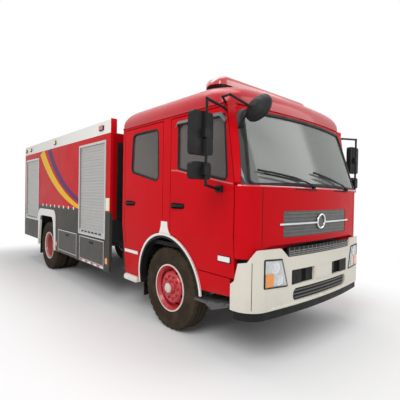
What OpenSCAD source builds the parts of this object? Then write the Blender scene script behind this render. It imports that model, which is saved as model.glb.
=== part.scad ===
// Crew-cab foam fire truck on a two-axle cab-over chassis.
// Lengths are millimetres. +X points forward, +Y to the truck's left and +Z up.
// Every module is written from the front axle's centre line on the ground, and place() then
// moves the whole truck so that the origin lies on the ground under the middle of its length.

/* [Wheels and axles] */
// Distance between the axles
wheelbase = 4400; // [3950:10:4700]
// Outside radius of a tyre
tyre_r = 520; // [500:5:535]
// Width of a tyre across its sidewalls
tyre_w = 275; // [250:5:290]
// Radius of the rim's outer flange
rim_r = 297; // [280:1:310]
// Distance from the centre line to the middle of a front tyre
front_half_track = 965; // [950:1:975]
// Distance from the centre line to the middle of an outer rear tyre
rear_outer_y = 1065; // [1050:1:1075]
// Distance between the middles of twin tyres
twin_pitch = 310; // [300:1:320]
// Distance from a kingpin out to the middle of its tyre
kingpin_offset = 165; // [155:1:175]
// Radius of a kingpin
kingpin_r = 24; // [18:1:28]
// Radius of the spindles that carry the hubs
spindle_r = 45; // [38:1:50]
// Radial clearance of a running fit
running_gap = 0.08; // [0.05:0.01:0.1]
// Length of a steering arm from its kingpin to the tie rod pin
steer_arm = 190; // [150:5:210]

/* [Chassis frame] */
// Height of the top of the frame rails
rail_top = 970; // [950:5:990]
// Depth of a rail
rail_h = 250; // [220:5:260]
// Width of a rail's flanges
rail_flange = 75; // [65:1:85]
// Thickness of the rail steel
rail_t = 8; // [6:1:10]
// Distance from the centre line to the outside of a rail
rail_y = 430; // [420:1:435]

/* [Cab] */
// Half of the cab's width at the doors
cab_half = 1200; // [1180:1:1210]
// How far the cab's sides draw in at their lower edge
cab_tuck = 70; // [40:1:80]
// Thickness of the cab's walls and doors
cab_wall = 50; // [40:1:60]
// Front of the cab panel at the centre line, ahead of the front axle
cab_front_x = 1445; // [1430:1:1450]
// Back of the cab, ahead of the front axle
cab_back_x = -1035; // [-1080:5:-1000]
// Radius of the bow of the cab's front in plan
bow_r = 7200; // [6000:100:9000]
// Radius of the cab's front corners in plan
cab_corner_r = 220; // [180:5:240]
// Height where the door skins turn inwards
crease_z = 1280; // [1270:5:1300]
// Height of the lower edge of the side skirts
skirt_z = 480; // [470:5:500]
// Height of the lower edge of the cab's front panel
panel_z = 1210; // [1205:1:1225]
// Height of the belt under the windscreen
belt_z = 1810; // [1790:5:1830]
// Height of the roof gutter
gutter_z = 2650; // [2630:5:2670]
// Height of the cab roof
roof_z = 2910; // [2890:5:2930]
// Backward lean of the windscreen in degrees
screen_lean = 18; // [15:1:20]
// Gap all round a cab door
door_gap = 10; // [8:1:12]
// Radius of the front wheel arch
arch_r = 600; // [590:5:610]
// Width of the white lip round the front wheel arch
lip_w = 55; // [45:5:60]
// How far the lip stands out of the cab's side
lip_out = 12; // [5:1:20]
// Radius of the roof's front corners in plan at its crown
roof_corner_r = 560; // [450:10:600]
// Height of the curve between the roof's sides and its crown
crown_r = 230; // [200:5:240]

/* [Front bumper] */
// Front of the bumper at the centre line, ahead of the front axle
bumper_x = 1500; // [1500:1:1510]
// Half of the bumper's width
bumper_half = 1190; // [1180:1:1200]
// Thickness of the bumper's skin
bumper_t = 30; // [25:1:32]
// Height of the bumper's lower edge
bumper_low = 575; // [560:5:590]
// Height of the bumper's top between its wings
bumper_top = 1085; // [1075:5:1090]
// Height of the tops of the bumper's wings
wing_top = 1180; // [1170:5:1185]

/* [Body] */
// Front of the body behind the front axle
body_front = 1350; // [1340:5:1400]
// Overhang of the body behind the rear axle
body_overhang = 1800; // [1790:5:1850]
// Half of the body's width
body_half = 1245; // [1240:1:1250]
// Thickness of the body's walls
body_wall = 45; // [35:1:55]
// Height of the lower edge of the body's skirts
body_low = 490; // [480:5:510]
// Height where the white side rails of the roof begin
rail_low = 2640; // [2620:5:2660]
// Height of the side rails above the roof
rail_rise = 205; // [180:5:230]
// Width of a side rail
rail_w = 100; // [80:5:120]
// Thickness of a roller shutter
shutter_t = 26; // [20:1:30]
// Pitch of the shutter slats
slat_pitch = 50; // [40:1:60]
// Depth of a shutter behind the body's side
shutter_inset = 14; // [8:1:18]
// Thickness of the fold-down step doors
step_door_t = 40; // [30:1:44]
// Gap round the fold-down step doors
step_gap = 8; // [6:1:12]

/* [Roof equipment] */
// Half of the light bar's length
light_half = 950; // [800:10:1000]
// Height of the light bar's lenses
light_h = 125; // [100:5:140]
// Height of the light bar's feet
light_foot = 75; // [50:5:90]
// Length of the monitor's barrel ahead of its trunnions
barrel_front = 760; // [600:10:800]

/* [Rear end] */
// How far the rearmost step stands behind the body
rear_step = 100; // [90:1:120]
// Radius of the bore in the rear towing eye
tow_r = 20; // [16:1:25]
// Thickness of the rear towing eye
tow_t = 30; // [24:1:36]

/* [Hidden] */
$fn = 64;
e = 1;
axle_z = tyre_r;
rear_x = -wheelbase;
kingpin_y = front_half_track - kingpin_offset;
body_x0 = -body_front;
body_x1 = rear_x - body_overhang;
tail_x = body_x1 - rear_step;
mid_x = (bumper_x + tail_x) / 2;
rail_low_z = rail_top - rail_h;
cab_in = cab_half - cab_wall;
floor_z = rail_top + 90;
floor_t = 50;
floor_top = floor_z + floor_t;
top_z = rail_low + rail_rise;
// Where the cab's front corners meet the doors, and the lower edge of the front panel
corner_front = cab_front_x - 255;
corner_low = panel_z - 120;
panel_knee = cab_front_x - 110;
panel_lip = cab_front_x - 50;
// Lower edges of the front and rear doors
sill_front = 880;
sill_rear = 905;
// Reach of cuts that pass right through a wall, along Y and along X
far = 2 * cab_half;
cut_back = cab_front_x - 445;
cut_front = bumper_x + 100;

// Helpers

module place() { translate([-mid_x, 0, 0]) children(); }
// Mirrors a right-hand piece to the left: side is -1 on the right and 1 on the left.
module on_side(side) { mirror([0, side > 0 ? 1 : 0, 0]) children(); }
// A box from its lowest to its highest corner.
module span(low, high) { translate(low) cube(high - low); }
// An outline drawn in X and Z, extruded along Y from y0 to y1.
module along_y(y0, y1) { translate([0, y1, 0]) rotate([90, 0, 0]) linear_extrude(y1 - y0) children(); }
// An outline drawn in Y and Z, extruded along X from x0 to x1.
module along_x(x0, x1) { translate([x0, 0, 0]) rotate([90, 0, 90]) linear_extrude(x1 - x0) children(); }
// A round bar from one point to another.
module bar(p, q, r) {
    v = q - p;
    translate(p) rotate([0, acos(v.z / norm(v)), atan2(v.y, v.x)]) cylinder(r = r, h = norm(v), $fn = 24);
}
knee_r = 3;
// Round bars through a list of points, with round knees.
module bent_bar(points, r) {
    for (i = [0 : len(points) - 2]) bar(points[i], points[i + 1], r);
    for (i = [1 : len(points) - 2]) translate(points[i]) sphere(r = r + knee_r, $fn = 24);
}

function unit(v) = v / norm(v);
// Points of the arc that rounds corner b of the outline a, b, c.
function corner_arc(a, b, c, r, n) =
    let (u = unit(a - b), w = unit(c - b), half = acos(u * w) / 2, ctr = b + unit(u + w) * (r / sin(half)),
         p = b + u * (r / tan(half)), q = b + w * (r / tan(half)),
         a0 = atan2(p.y - ctr.y, p.x - ctr.x),
         turn = (atan2(q.y - ctr.y, q.x - ctr.x) - a0 + 540) % 360 - 180)
    [for (i = [0 : n]) ctr + r * [cos(a0 + turn * i / n), sin(a0 + turn * i / n)]];
// An outline with every corner rounded.
function rounded(points, r, n = 4) =
    let (m = len(points))
    [for (i = [0 : m - 1]) each corner_arc(points[(i + m - 1) % m], points[i], points[(i + 1) % m], r, n)];

// Wheels

bead_seat = 12;
// Half outline of a tyre in radius and width, with bulging sidewalls.
module tyre_outline() {
    half = tyre_w / 2;
    bead = rim_r - bead_seat;
    shoulder = tyre_r - 32;
    bulge = (bead + shoulder) / 2 + 10;
    tread = half - 22;
    // one side from the bead to the tread: columns are radius and half width
    side = [[bead, half - 30], [bead + 40, half - 10], [bulge, half], [shoulder, half - 10],
        [tyre_r - 8, tread + 4], [tyre_r, tread - 12]];
    polygon(concat([for (p = side) [p.x, -p.y]], [for (i = [len(side) - 1 : -1 : 0]) side[i]]));
}
module tyre(x, y) {
    color([0.16, 0.15, 0.14]) translate([x, y, axle_z]) rotate([90, 0, 0])
        rotate_extrude($fn = 72) tyre_outline();
}

// Rim section in radius and width: barrel with flanges. The outer side has negative width.
module barrel() {
    half = tyre_w / 2;
    well = rim_r - 50;
    polygon([[rim_r - bead_seat, -half + 30], [rim_r, -half + 24], [rim_r, -half + 16],
        [rim_r - 22, -half + 16], [well, -half + 60], [well, half - 60], [rim_r - 22, half - 16],
        [rim_r, half - 16], [rim_r, half - 24], [rim_r - bead_seat, half - 30],
        [well + 14, half - 62], [well + 14, -half + 62]]);
}
hole_count = 8;
hole_circle = rim_r - 85;
hole_r = 22;
stud_count = 10;
stud_circle = spindle_r + 95;
stud_r = 17;
stud_h = 26;
disc_t = 14;
bore_r = spindle_r + running_gap;
drum_r = rim_r - 101;
drum_t = 18;
hub_r = spindle_r + 43;
tube_bore = spindle_r + 25;
// Dished wheel disc with hand holes. level is the hub face's place along the width, lip the outer edge's.
module disc(level, lip) {
    flat = hole_circle - hole_r - 10;
    edge = rim_r - 40;
    difference() {
        rotate_extrude($fn = 72) polygon([[bore_r, level], [flat, level], [edge - 22, lip], [edge, lip],
            [edge, lip + disc_t], [edge - 28, lip + disc_t], [flat - 6, level + disc_t],
            [bore_r, level + disc_t]]);
        for (i = [0 : hole_count - 1]) rotate([0, 0, 360 / hole_count * (i + 0.5)])
            translate([hole_circle, 0, -tyre_w / 2]) cylinder(r = hole_r, h = tyre_w, $fn = 32);
    }
}
// Wheel nuts standing out of a hub face.
module nuts(level) {
    for (i = [0 : stud_count - 1]) rotate([0, 0, 360 / stud_count * i])
        translate([stud_circle, 0, level - stud_h]) cylinder(r = stud_r, h = stud_h + e, $fn = 6);
}
hub_level = -92;
hub_nose = 40;
cap_h = 26;
// Front hub: brake drum behind the disc and a capped hub in front of it.
module front_rim() {
    nose = hub_level - hub_nose;
    color([0.8, 0.1, 0.12]) {
        rotate_extrude($fn = 72) barrel();
        disc(hub_level, -20);
        nuts(hub_level);
        rotate_extrude($fn = 72) polygon([[bore_r, nose], [hub_r - 16, nose], [hub_r, hub_level - 10],
            [hub_r, hub_level + 4], [drum_r, hub_level + 12], [drum_r, 70], [drum_r - drum_t, 70],
            [drum_r - drum_t, hub_level + 40], [tube_bore, hub_level + 40], [tube_bore, 60], [bore_r, 60]]);
        translate([0, 0, nose - cap_h])
            cylinder(r1 = spindle_r - 1, r2 = spindle_r + 11, h = cap_h + e, $fn = 48);
    }
}
twin_nose = 110;
// Twin rims: the two discs meet between the tyres.
module twin_rims() {
    half_pitch = twin_pitch / 2;
    color([0.8, 0.1, 0.12]) {
        for (s = [-1, 1]) translate([0, 0, s * half_pitch]) rotate_extrude($fn = 72) barrel();
        for (s = [-1, 1]) mirror([0, 0, s > 0 ? 1 : 0]) disc(-disc_t, -half_pitch + 20);
        translate([0, 0, -disc_t]) nuts(0);
        rotate_extrude($fn = 72) polygon([[bore_r, -twin_nose], [tube_bore, -twin_nose], [hub_r + 8, -80],
            [hub_r + 8, -disc_t], [drum_r, -disc_t], [drum_r, half_pitch + 40],
            [drum_r - drum_t, half_pitch + 40], [drum_r - drum_t, 20], [tube_bore, 20], [tube_bore, 120],
            [bore_r, 120]]);
        translate([0, 0, -twin_nose - cap_h])
            cylinder(r1 = spindle_r + 5, r2 = spindle_r + 15, h = cap_h + e, $fn = 48);
    }
}
// Puts a wheel with its outer side away from the centre line.
module wheel_place(x, y) { translate([x, y, axle_z]) rotate([y < 0 ? -90 : 90, 0, 0]) children(); }
module tyres_rear(side) {
    for (i = [0, 1]) tyre(rear_x, side * (rear_outer_y - i * twin_pitch));
}
module rims_rear(side) { wheel_place(rear_x, side * (rear_outer_y - twin_pitch / 2)) twin_rims(); }

// Axles and steering

boss_r = kingpin_r + 28;
boss_h = 170;
beam_h = 110;
beam_w = 100;
beam_drop = 60;
beam_half = kingpin_y - 240;
spring_y = rail_y - 38;
spring_w = 70;
fork_gap = 2;
fork_t = 44;
fork_w = 92;
web_in = boss_r + 14;
web_t = 30;
fork_low = axle_z - boss_h / 2 - fork_gap - fork_t;
fork_high = axle_z + boss_h / 2 + fork_gap + fork_t;
arm_w = 44;
rod_r = 18;
rod_pin_r = 13;
rod_eye_r = 22;
rod_drop = 40;
module front_axle() {
    low = axle_z - beam_drop - beam_h;
    reach = kingpin_y - 20;
    color([0.2, 0.2, 0.21]) difference() {
        union() {
            span([-beam_w / 2, -beam_half, low], [beam_w / 2, beam_half, low + beam_h]);
            for (side = [-1, 1]) on_side(side) {
                along_x(-beam_w / 2, beam_w / 2)
                    polygon([[-beam_half + 10, low], [-beam_half + 10, low + beam_h],
                        [-reach, axle_z + beam_drop], [-reach, axle_z - beam_drop],
                        [-kingpin_y + 110, fork_low + fork_t + 12]]);
                translate([0, -kingpin_y, axle_z - boss_h / 2]) cylinder(r = boss_r, h = boss_h);
            }
        }
        for (side = [-1, 1]) translate([0, side * kingpin_y, axle_z - boss_h])
            cylinder(r = kingpin_r + running_gap, h = 2 * boss_h);
    }
}
// Steering knuckle: fork on the kingpin, spindle for the hub, and an arm back to the tie rod.
module knuckle(side) {
    web_out = -web_in - web_t;
    spindle_end = kingpin_offset - hub_level - 4;
    color([0.24, 0.24, 0.25]) on_side(side) translate([0, -kingpin_y, 0]) {
        translate([0, 0, fork_low]) cylinder(r = kingpin_r, h = fork_high - fork_low);
        for (z = [fork_low, fork_high - fork_t]) {
            translate([0, 0, z]) cylinder(r = boss_r, h = fork_t);
            span([-fork_w / 2, web_out, z], [fork_w / 2, 0, z + fork_t]);
        }
        span([-fork_w / 2, web_out, fork_low], [fork_w / 2, -web_in, fork_high]);
        translate([0, -web_in - e, axle_z]) rotate([90, 0, 0])
            cylinder(r = spindle_r, h = spindle_end - web_in - e);
        difference() {
            steering_arm();
            translate([-steer_arm, 0, fork_low - e])
                cylinder(r = rod_pin_r + running_gap, h = fork_t + 2 * e);
        }
    }
}
// Flat arm from the lower fork plate to the tie rod's pin.
module steering_arm() {
    translate([0, 0, fork_low]) linear_extrude(fork_t) {
        polygon([[-30, -fork_w / 2], [-30, fork_w / 2], [-steer_arm, arm_w / 2], [-steer_arm, -arm_w / 2]]);
        translate([-steer_arm, 0]) circle(r = rod_eye_r);
    }
}
// Tie rod under the arms, with a pin up into each. The arms are parallel, so both wheels steer alike.
module tie_rod() {
    y = kingpin_y;
    z = fork_low - rod_drop;
    eye_h = 2 * rod_r + 8;
    color([0.3, 0.3, 0.31]) translate([-steer_arm, 0, 0]) {
        translate([0, y, z]) rotate([90, 0, 0]) cylinder(r = rod_r, h = 2 * y);
        for (s = [-1, 1]) {
            translate([0, s * y, z - eye_h / 2]) cylinder(r = rod_eye_r, h = eye_h);
            translate([0, s * y, z]) cylinder(r = rod_pin_r, h = rod_drop + fork_t);
        }
    }
}
diff_r = 200;
diff_w = 120;
cone_w = 70;
cone_r = 120;
tube_r = 78;
nose = 230;
nose_r = 85;
// Rear axle: tube with a round differential housing, and spindles that end inside the hubs' caps.
module rear_axle() {
    stub = rear_outer_y - twin_pitch / 2 + twin_nose - 10;
    tube = rear_outer_y - twin_pitch - tyre_w / 2 - 27;
    color([0.2, 0.2, 0.21]) translate([rear_x, 0, axle_z]) {
        rotate([90, 0, 0]) {
            translate([0, 0, -tube]) cylinder(r = tube_r, h = 2 * tube);
            translate([0, 0, -stub]) cylinder(r = spindle_r, h = 2 * stub);
            translate([0, 0, -diff_w / 2 - cone_w]) cylinder(r1 = cone_r, r2 = diff_r, h = cone_w);
            translate([0, 0, -diff_w / 2]) cylinder(r = diff_r, h = diff_w);
            translate([0, 0, diff_w / 2]) cylinder(r1 = diff_r, r2 = cone_r, h = cone_w);
        }
        rotate([0, 90, 0]) cylinder(r = nose_r, h = nose);
    }
}
// Leaf packs: columns are axle place, height of the seat, half length and number of leaves.
packs = [[0, axle_z - beam_drop, 700, 6], [rear_x, axle_z + tube_r, 720, 8]];
leaf_t = 13;
shackle_w = 90;
shackle_in = 40;
module leaf_springs() {
    color([0.15, 0.15, 0.16]) for (p = packs, side = [-1, 1]) {
        y0 = side * spring_y - spring_w / 2;
        for (i = [0 : p[3] - 1]) {
            half = p[2] * (i + 2) / (p[3] + 1);
            span([p[0] - half, y0, p[1] + i * leaf_t], [p[0] + half, y0 + spring_w, p[1] + (i + 1) * leaf_t]);
        }
        for (s = [-1, 1]) {
            x = p[0] + s * (p[2] - shackle_in);
            span([x - shackle_w / 2, y0, p[1] + (p[3] - 1) * leaf_t],
                [x + shackle_w / 2, y0 + spring_w, rail_low_z]);
        }
    }
}

// Chassis

rail_front_x = cab_front_x - 265;
rail_back_x = body_x1 + 50;
module frame_rails() {
    color([0.13, 0.13, 0.14]) for (side = [-1, 1]) on_side(side) difference() {
        span([rail_back_x, -rail_y, rail_low_z], [rail_front_x, -rail_y + rail_flange, rail_top]);
        span([rail_back_x - e, -rail_y + rail_t, rail_low_z + rail_t],
            [rail_front_x + e, 0, rail_top - rail_t]);
    }
}
member_w = 80;
member_h = 110;
member_places = [rail_front_x - 80, body_x0 + 100, body_x0 - 950, rear_x + 1000, rear_x - 800,
    rail_back_x + 60];
eye_half = 60;
// Cross members between the rails, the last with a towing eye under it.
module cross_members() {
    half = rail_y - rail_t;
    high = rail_top - rail_t;
    eye_z = high - member_h - tow_t;
    eye_x = tail_x + eye_half;
    color([0.13, 0.13, 0.14]) {
        for (x = member_places)
            span([x - member_w / 2, -half, high - member_h], [x + member_w / 2, half, high]);
        difference() {
            union() {
                span([eye_x, -eye_half, eye_z], [rail_back_x + 90, eye_half, eye_z + tow_t]);
                span([rail_back_x + 30, -eye_half, eye_z], [rail_back_x + 90, eye_half, eye_z + tow_t + e]);
                translate([eye_x, 0, eye_z]) cylinder(r = eye_half, h = tow_t);
            }
            translate([eye_x, 0, eye_z - e]) cylinder(r = tow_r, h = tow_t + 2 * e);
        }
    }
}
engine_front = 900;
engine_back = -300;
engine_half = 300;
engine_low = rail_low_z - 160;
gearbox_back = -1000;
gearbox_half = 180;
shaft_r = 58;
stack_back = body_x0 + 60;
stack_front = cab_back_x - 135;
stack_out = cab_half - 160;
stack_in = stack_out - 190;
stack_top = gutter_z - 150;
// Engine and gearbox as plain blocks, the propeller shaft, and the air intake's stack behind the cab.
module engine_driveline() {
    shaft_z = rail_low_z + 20;
    color([0.3, 0.31, 0.32]) {
        span([engine_back, -engine_half, engine_low], [engine_front, engine_half, rail_top + 60]);
        span([gearbox_back, -gearbox_half, engine_low + 10], [engine_back + e, gearbox_half, rail_top - 40]);
        difference() {
            bar([gearbox_back + 20, 0, shaft_z], [rear_x + nose, 0, axle_z], shaft_r);
            span([rear_x, -nose_r, axle_z - nose], [rear_x + nose, nose_r, axle_z + nose]);
        }
        span([stack_back, -stack_out, rail_top], [stack_front, -stack_in, stack_top]);
        span([stack_back, -stack_in - e, rail_top], [stack_front, -rail_y + rail_flange, rail_top + 60]);
    }
}
tank_x = rear_x + 950;
tank_l = 750;
tank_w = 480;
tank_low = rail_low_z - 200;
tank_top = rail_top - 70;
battery_x = body_x0 + 20;
battery_l = 260;
battery_w = 600;
// Fuel tank on the left rail and the battery box on the right one.
module fuel_tank() {
    color([0.5, 0.5, 0.52]) {
        span([tank_x, rail_y, tank_low], [tank_x + tank_l, rail_y + tank_w, tank_top]);
        span([battery_x, -rail_y - battery_w, tank_low], [battery_x + battery_l, -rail_y, tank_top]);
    }
}

// Front bumper, from a plan outline shared with the cab

// Middle of a corner arc that touches both the side and the bowed front.
function corner_middle(front, bow, half, r) =
    [front - bow + sqrt(pow(bow - r, 2) - pow(half - r, 2)), half - r];
// Plan outline of a bowed front with round corners, from back to front.
module plan(front, bow, half, r, back, fn = 144) {
    c = corner_middle(front, bow, half, r);
    touch = c + r * unit(c - [front - bow, 0]);
    intersection() {
        union() {
            for (s = [-1, 1]) translate([c.x, s * c.y]) circle(r = r, $fn = fn);
            if (c.x > back) translate([back, -half]) square([c.x - back, 2 * half]);
            intersection() {
                translate([front - bow, 0]) circle(r = bow, $fn = 5 * fn);
                translate([c.x - r / 2, -touch.y]) square([front, 2 * touch.y]);
            }
        }
        translate([back, -half]) square([front + e - back, 2 * half]);
    }
}
// A wall of thickness t that follows the plan outline.
module plan_wall(front, bow, half, r, back, t) {
    difference() {
        plan(front, bow, half, r, back);
        plan(front - t, bow - t, half - t, r - t, back - e);
    }
}
bumper_corner = cab_corner_r + 20;
wing_back = corner_front - 35;
// Side view of the bumper: columns are x and z.
wing_outline = [[wing_back, bumper_low], [wing_back, sill_front - 50], [corner_front + 13, sill_front - 12],
    [corner_front + 55, sill_front + 165], [panel_knee - 5, corner_low - 28], [panel_lip, wing_top],
    [cut_front, wing_top], [cut_front, bumper_low]];
dip_half = 660;
dip_slope = 110;
lamp_out_y = bumper_half - 180;
lamp_outline = rounded([[-lamp_out_y, 800], [-lamp_out_y, 1092], [-lamp_out_y + 258, 1080],
    [-lamp_out_y + 348, 785]], 18);
hole_outline = rounded([[-605, 790], [-605, 945], [-195, 945], [-195, 790]], 14);
slot_outline = rounded([[-580, 615], [-580, 750], [580, 750], [580, 615]], 60, 6);
// A wall of thickness t that lies d behind the bumper's face.
module bumper_wall(d, t) {
    plan_wall(bumper_x - d, bow_r - d, bumper_half - d, bumper_corner - d, wing_back, t);
}
module front_bumper() {
    color([0.85, 0.84, 0.8]) difference() {
        intersection() {
            translate([0, 0, bumper_low]) linear_extrude(wing_top - bumper_low) bumper_wall(0, bumper_t);
            along_y(-far, far) polygon(wing_outline);
        }
        along_x(cut_back, cut_front) {
            polygon([[-dip_half - dip_slope, wing_top + e], [-dip_half, bumper_top], [dip_half, bumper_top],
                [dip_half + dip_slope, wing_top + e]]);
            for (s = [-1, 1]) scale([s, 1]) {
                polygon(lamp_outline);
                polygon(hole_outline);
            }
            polygon(slot_outline);
        }
    }
}
valance_h = 85;
valance_in = 14;
louvre_in = 8;
louvre_t = 14;
panel_half = 640;
panel_h = 380;
// Dark pieces of the bumper: lower valance, louvred step, and the panel behind the openings.
module bumper_trim() {
    color([0.12, 0.12, 0.12]) {
        translate([0, 0, bumper_low - valance_h]) linear_extrude(valance_h) intersection() {
            bumper_wall(valance_in, 20);
            translate([wing_back + 30, -far]) square([far, 2 * far]);
        }
        translate([0, 0, bumper_top]) linear_extrude(wing_top - bumper_top) intersection() {
            bumper_wall(louvre_in, louvre_t);
            translate([cut_back, -dip_half]) square([far, 2 * dip_half]);
        }
        translate([0, 0, bumper_low + 10]) linear_extrude(panel_h) intersection() {
            bumper_wall(bumper_t, 24);
            translate([cut_back, -panel_half]) square([far, 2 * panel_half]);
        }
    }
}
module headlamps() {
    color([0.8, 0.82, 0.84]) for (side = [-1, 1]) on_side(side) intersection() {
        translate([0, 0, bumper_low]) linear_extrude(wing_top - bumper_low) bumper_wall(2, 70);
        along_x(cut_back, cut_front) polygon(lamp_outline);
    }
}
step_z = 555;
// Tread of a cab step in X and Y, cut back where the steered tyre passes.
tread_outline = [[tyre_r + 105, -cab_half + 320], [tyre_r + 105, -cab_half + 240],
    [tyre_r + 60, -cab_half + 100], [tyre_r + 70, -cab_half + 35], [tyre_r + 610, -cab_half + 35],
    [tyre_r + 610, -cab_half + 320]];
// Side view of a cab step in X and Z: a thin tread over a fascia that comes to a point.
step_outline = [[tyre_r + 50, step_z - 25], [tyre_r + 50, step_z], [tyre_r + 230, step_z + 5],
    [tyre_r + 620, step_z + 61], [tyre_r + 620, step_z + 33], [tyre_r + 342, step_z - 69],
    [tyre_r + 235, step_z - 25]];
// Hangers up to the rail: columns are x and low z.
hanger_places = [[tyre_r + 180, step_z - 15], [tyre_r + 570, step_z + 35]];
hanger_t = 30;
hanger_h = 40;
module cab_steps() {
    hanger_y = -cab_half + 320;
    high = rail_low_z + 60;
    color([0.3, 0.3, 0.31]) for (side = [-1, 1]) on_side(side) {
        intersection() {
            linear_extrude(rail_low_z) polygon(tread_outline);
            along_y(-far, 0) polygon(step_outline);
        }
        for (h = hanger_places) {
            span([h[0], hanger_y - 20, h[1]], [h[0] + hanger_t, hanger_y, high]);
            span([h[0], hanger_y - 20, high - hanger_h], [h[0] + hanger_t, -rail_y, high]);
        }
    }
}
flap_t = 10;
flap_low = 260;
flap_top = rail_low_z + 80;
module mudflaps() {
    flap_x = -tyre_r - 150;
    out = front_half_track + 75;
    in = front_half_track - 245;
    color([0.07, 0.07, 0.07]) for (side = [-1, 1]) on_side(side) {
        span([flap_x, -out, flap_low], [flap_x + flap_t, -in, flap_top]);
        span([flap_x - 20, -in - 20, flap_top - hanger_h], [flap_x + 20, -rail_y, flap_top]);
        span([rear_x - 640, -body_in + 10, flap_low], [rear_x - 640 + flap_t, -box_in - 20, rail_top]);
    }
}

// Body

body_in = body_half - body_wall;
deck_t = 50;
box_h = 230;
box_half = tyre_r + 80;
box_in = rear_outer_y - twin_pitch - tyre_w / 2 - 27;
box_wall = 20;
// Floor on the frame rails, with a box over each pair of rear tyres.
module body_floor() {
    box_back = rear_x - box_half;
    box_front = rear_x + box_half;
    box_top = rail_top + box_h;
    color([0.3, 0.3, 0.31]) {
        difference() {
            span([body_x1 + body_wall, -body_in, rail_top],
                [body_x0 - body_wall, body_in, rail_top + deck_t]);
            for (side = [-1, 1]) on_side(side)
                span([box_back, -body_in - e, rail_top - e], [box_front, -box_in, rail_top + deck_t + e]);
        }
        for (side = [-1, 1]) on_side(side) difference() {
            span([box_back - box_wall, -body_in, rail_top],
                [box_front + box_wall, -box_in + box_wall, box_top]);
            span([box_back, -body_in - e, rail_top - e], [box_front, -box_in, box_top - box_wall]);
        }
    }
}
// Rear opening: lowest and highest corner in Y and Z.
rear_door = [[-600, 1060], [600, 2440]];
module body_end_walls() {
    color([0.75, 0.08, 0.1]) {
        span([body_x0 - body_wall, -body_in, rail_top], [body_x0, body_in, rail_low]);
        difference() {
            span([body_x1, -body_in, rail_top - 70], [body_x1 + body_wall, body_in, rail_low]);
            along_x(body_x1 - e, body_x1 + body_wall + e)
                translate(rear_door[0]) square(rear_door[1] - rear_door[0]);
        }
    }
}
module body_roof() {
    color([0.7, 0.71, 0.7]) {
        span([body_x1 + body_wall, -body_in, rail_low - deck_t], [body_x0 - body_wall, body_in, rail_low]);
        translate([monitor_x, 0, rail_low - e]) cylinder(r = pedestal_r + 55, h = 24 + e);
        translate([monitor_x, 0, rail_low - e]) cylinder(r = pedestal_r, h = pedestal_h + e);
    }
}
monitor_x = body_x0 - 650;
pedestal_r = 95;
pedestal_h = 150;
turn_gap = 0.3;
ring_r = pedestal_r + 25;
ring_h = 60;
trunnion_z = rail_low + pedestal_h + 230;
trunnion_r = 30;
cheek_y = 78;
cheek_t = 30;
cheek_r = 60;
ball_r = 85;
ball_w = 140;
// Turret: turns on the pedestal and holds the barrel between two cheeks.
module monitor_turret() {
    base = rail_low + pedestal_h + turn_gap;
    color([0.75, 0.1, 0.1]) translate([monitor_x, 0, 0]) difference() {
        union() {
            translate([0, 0, base]) cylinder(r = ring_r, h = ring_h);
            for (s = [-1, 1]) translate([0, s * (cheek_y + cheek_t / 2), 0]) {
                span([-cheek_r, -cheek_t / 2, base + ring_h - e], [cheek_r, cheek_t / 2, trunnion_z]);
                translate([0, cheek_t / 2, trunnion_z]) rotate([90, 0, 0]) cylinder(r = cheek_r, h = cheek_t);
            }
        }
        translate([0, far, trunnion_z]) rotate([90, 0, 0])
            cylinder(r = trunnion_r + running_gap, h = 2 * far);
    }
}
// Barrel: swings on its trunnions and points forward at rest.
module monitor_barrel() {
    back = -130;
    muzzle_r = 34;
    // columns are radius and place along the barrel
    outline = [[0, back], [62, back], [62, 140], [48, 170], [44, barrel_front - 280],
        [62, barrel_front - 240], [66, barrel_front - 40], [58, barrel_front],
        [muzzle_r, barrel_front], [muzzle_r, barrel_front - 60], [0, barrel_front - 60]];
    pin = cheek_y + cheek_t;
    color([0.75, 0.1, 0.1]) translate([monitor_x, 0, trunnion_z]) {
        translate([0, pin, 0]) rotate([90, 0, 0]) cylinder(r = trunnion_r, h = 2 * pin);
        translate([0, ball_w / 2, 0]) rotate([90, 0, 0]) cylinder(r = ball_r, h = ball_w);
        rotate([0, 90, 0]) rotate_extrude($fn = 48) polygon(outline);
    }
}
module roof_side_rails() {
    color([0.9, 0.9, 0.88]) for (side = [-1, 1]) on_side(side)
        span([body_x1, -body_half, rail_low], [body_x0, -body_half + rail_w, top_z]);
}
// Side openings: columns are back x, front x, low z, high z.
front_shutter = [body_x0 - 1195, body_x0 - 175, 1005, 2515];
rear_shutter = [body_x1 + 150, body_x1 + 1175, 1065, 2475];
step_front = [body_x0 - 1175, body_x0 - 190, body_low, body_low + 452];
step_mid = [body_x0 - 2290, body_x0 - 1310, body_low, body_low + 463];
arch_top = rail_top + 210;
body_arch = rounded([[rear_x - tyre_r - 45, body_low - 100], [rear_x - tyre_r + 80, arch_top],
    [rear_x + tyre_r - 80, arch_top], [rear_x + tyre_r + 45, body_low - 100]], 130, 6);
tail_rise = 110;
module opening(o, grow = 0) {
    translate([o[0] - grow, o[2] - grow]) square([o[1] - o[0] + 2 * grow, o[3] - o[2] + 2 * grow]);
}
module body_side() {
    difference() {
        body_panel();
        for (o = [step_front, step_mid]) step_pin(o, step_pin_r + running_gap, step_pin_reach + e);
    }
}
module body_panel() {
    low = body_low - 10;
    along_y(-body_half, -body_in) difference() {
        polygon([[body_x1, body_low + tail_rise], [body_x1, rail_low], [body_x0, rail_low], [body_x0, low],
            [rear_x, low], [rear_x, body_low + tail_rise]]);
        opening(front_shutter);
        opening(rear_shutter);
        for (o = [step_front, step_mid]) {
            opening(o, step_gap);
            translate([o[0] - step_gap, 0]) square([o[1] - o[0] + 2 * step_gap, body_low + 20]);
        }
        polygon(body_arch);
    }
}
slat_rise = 5;
slat_edge_h = 6;
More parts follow.
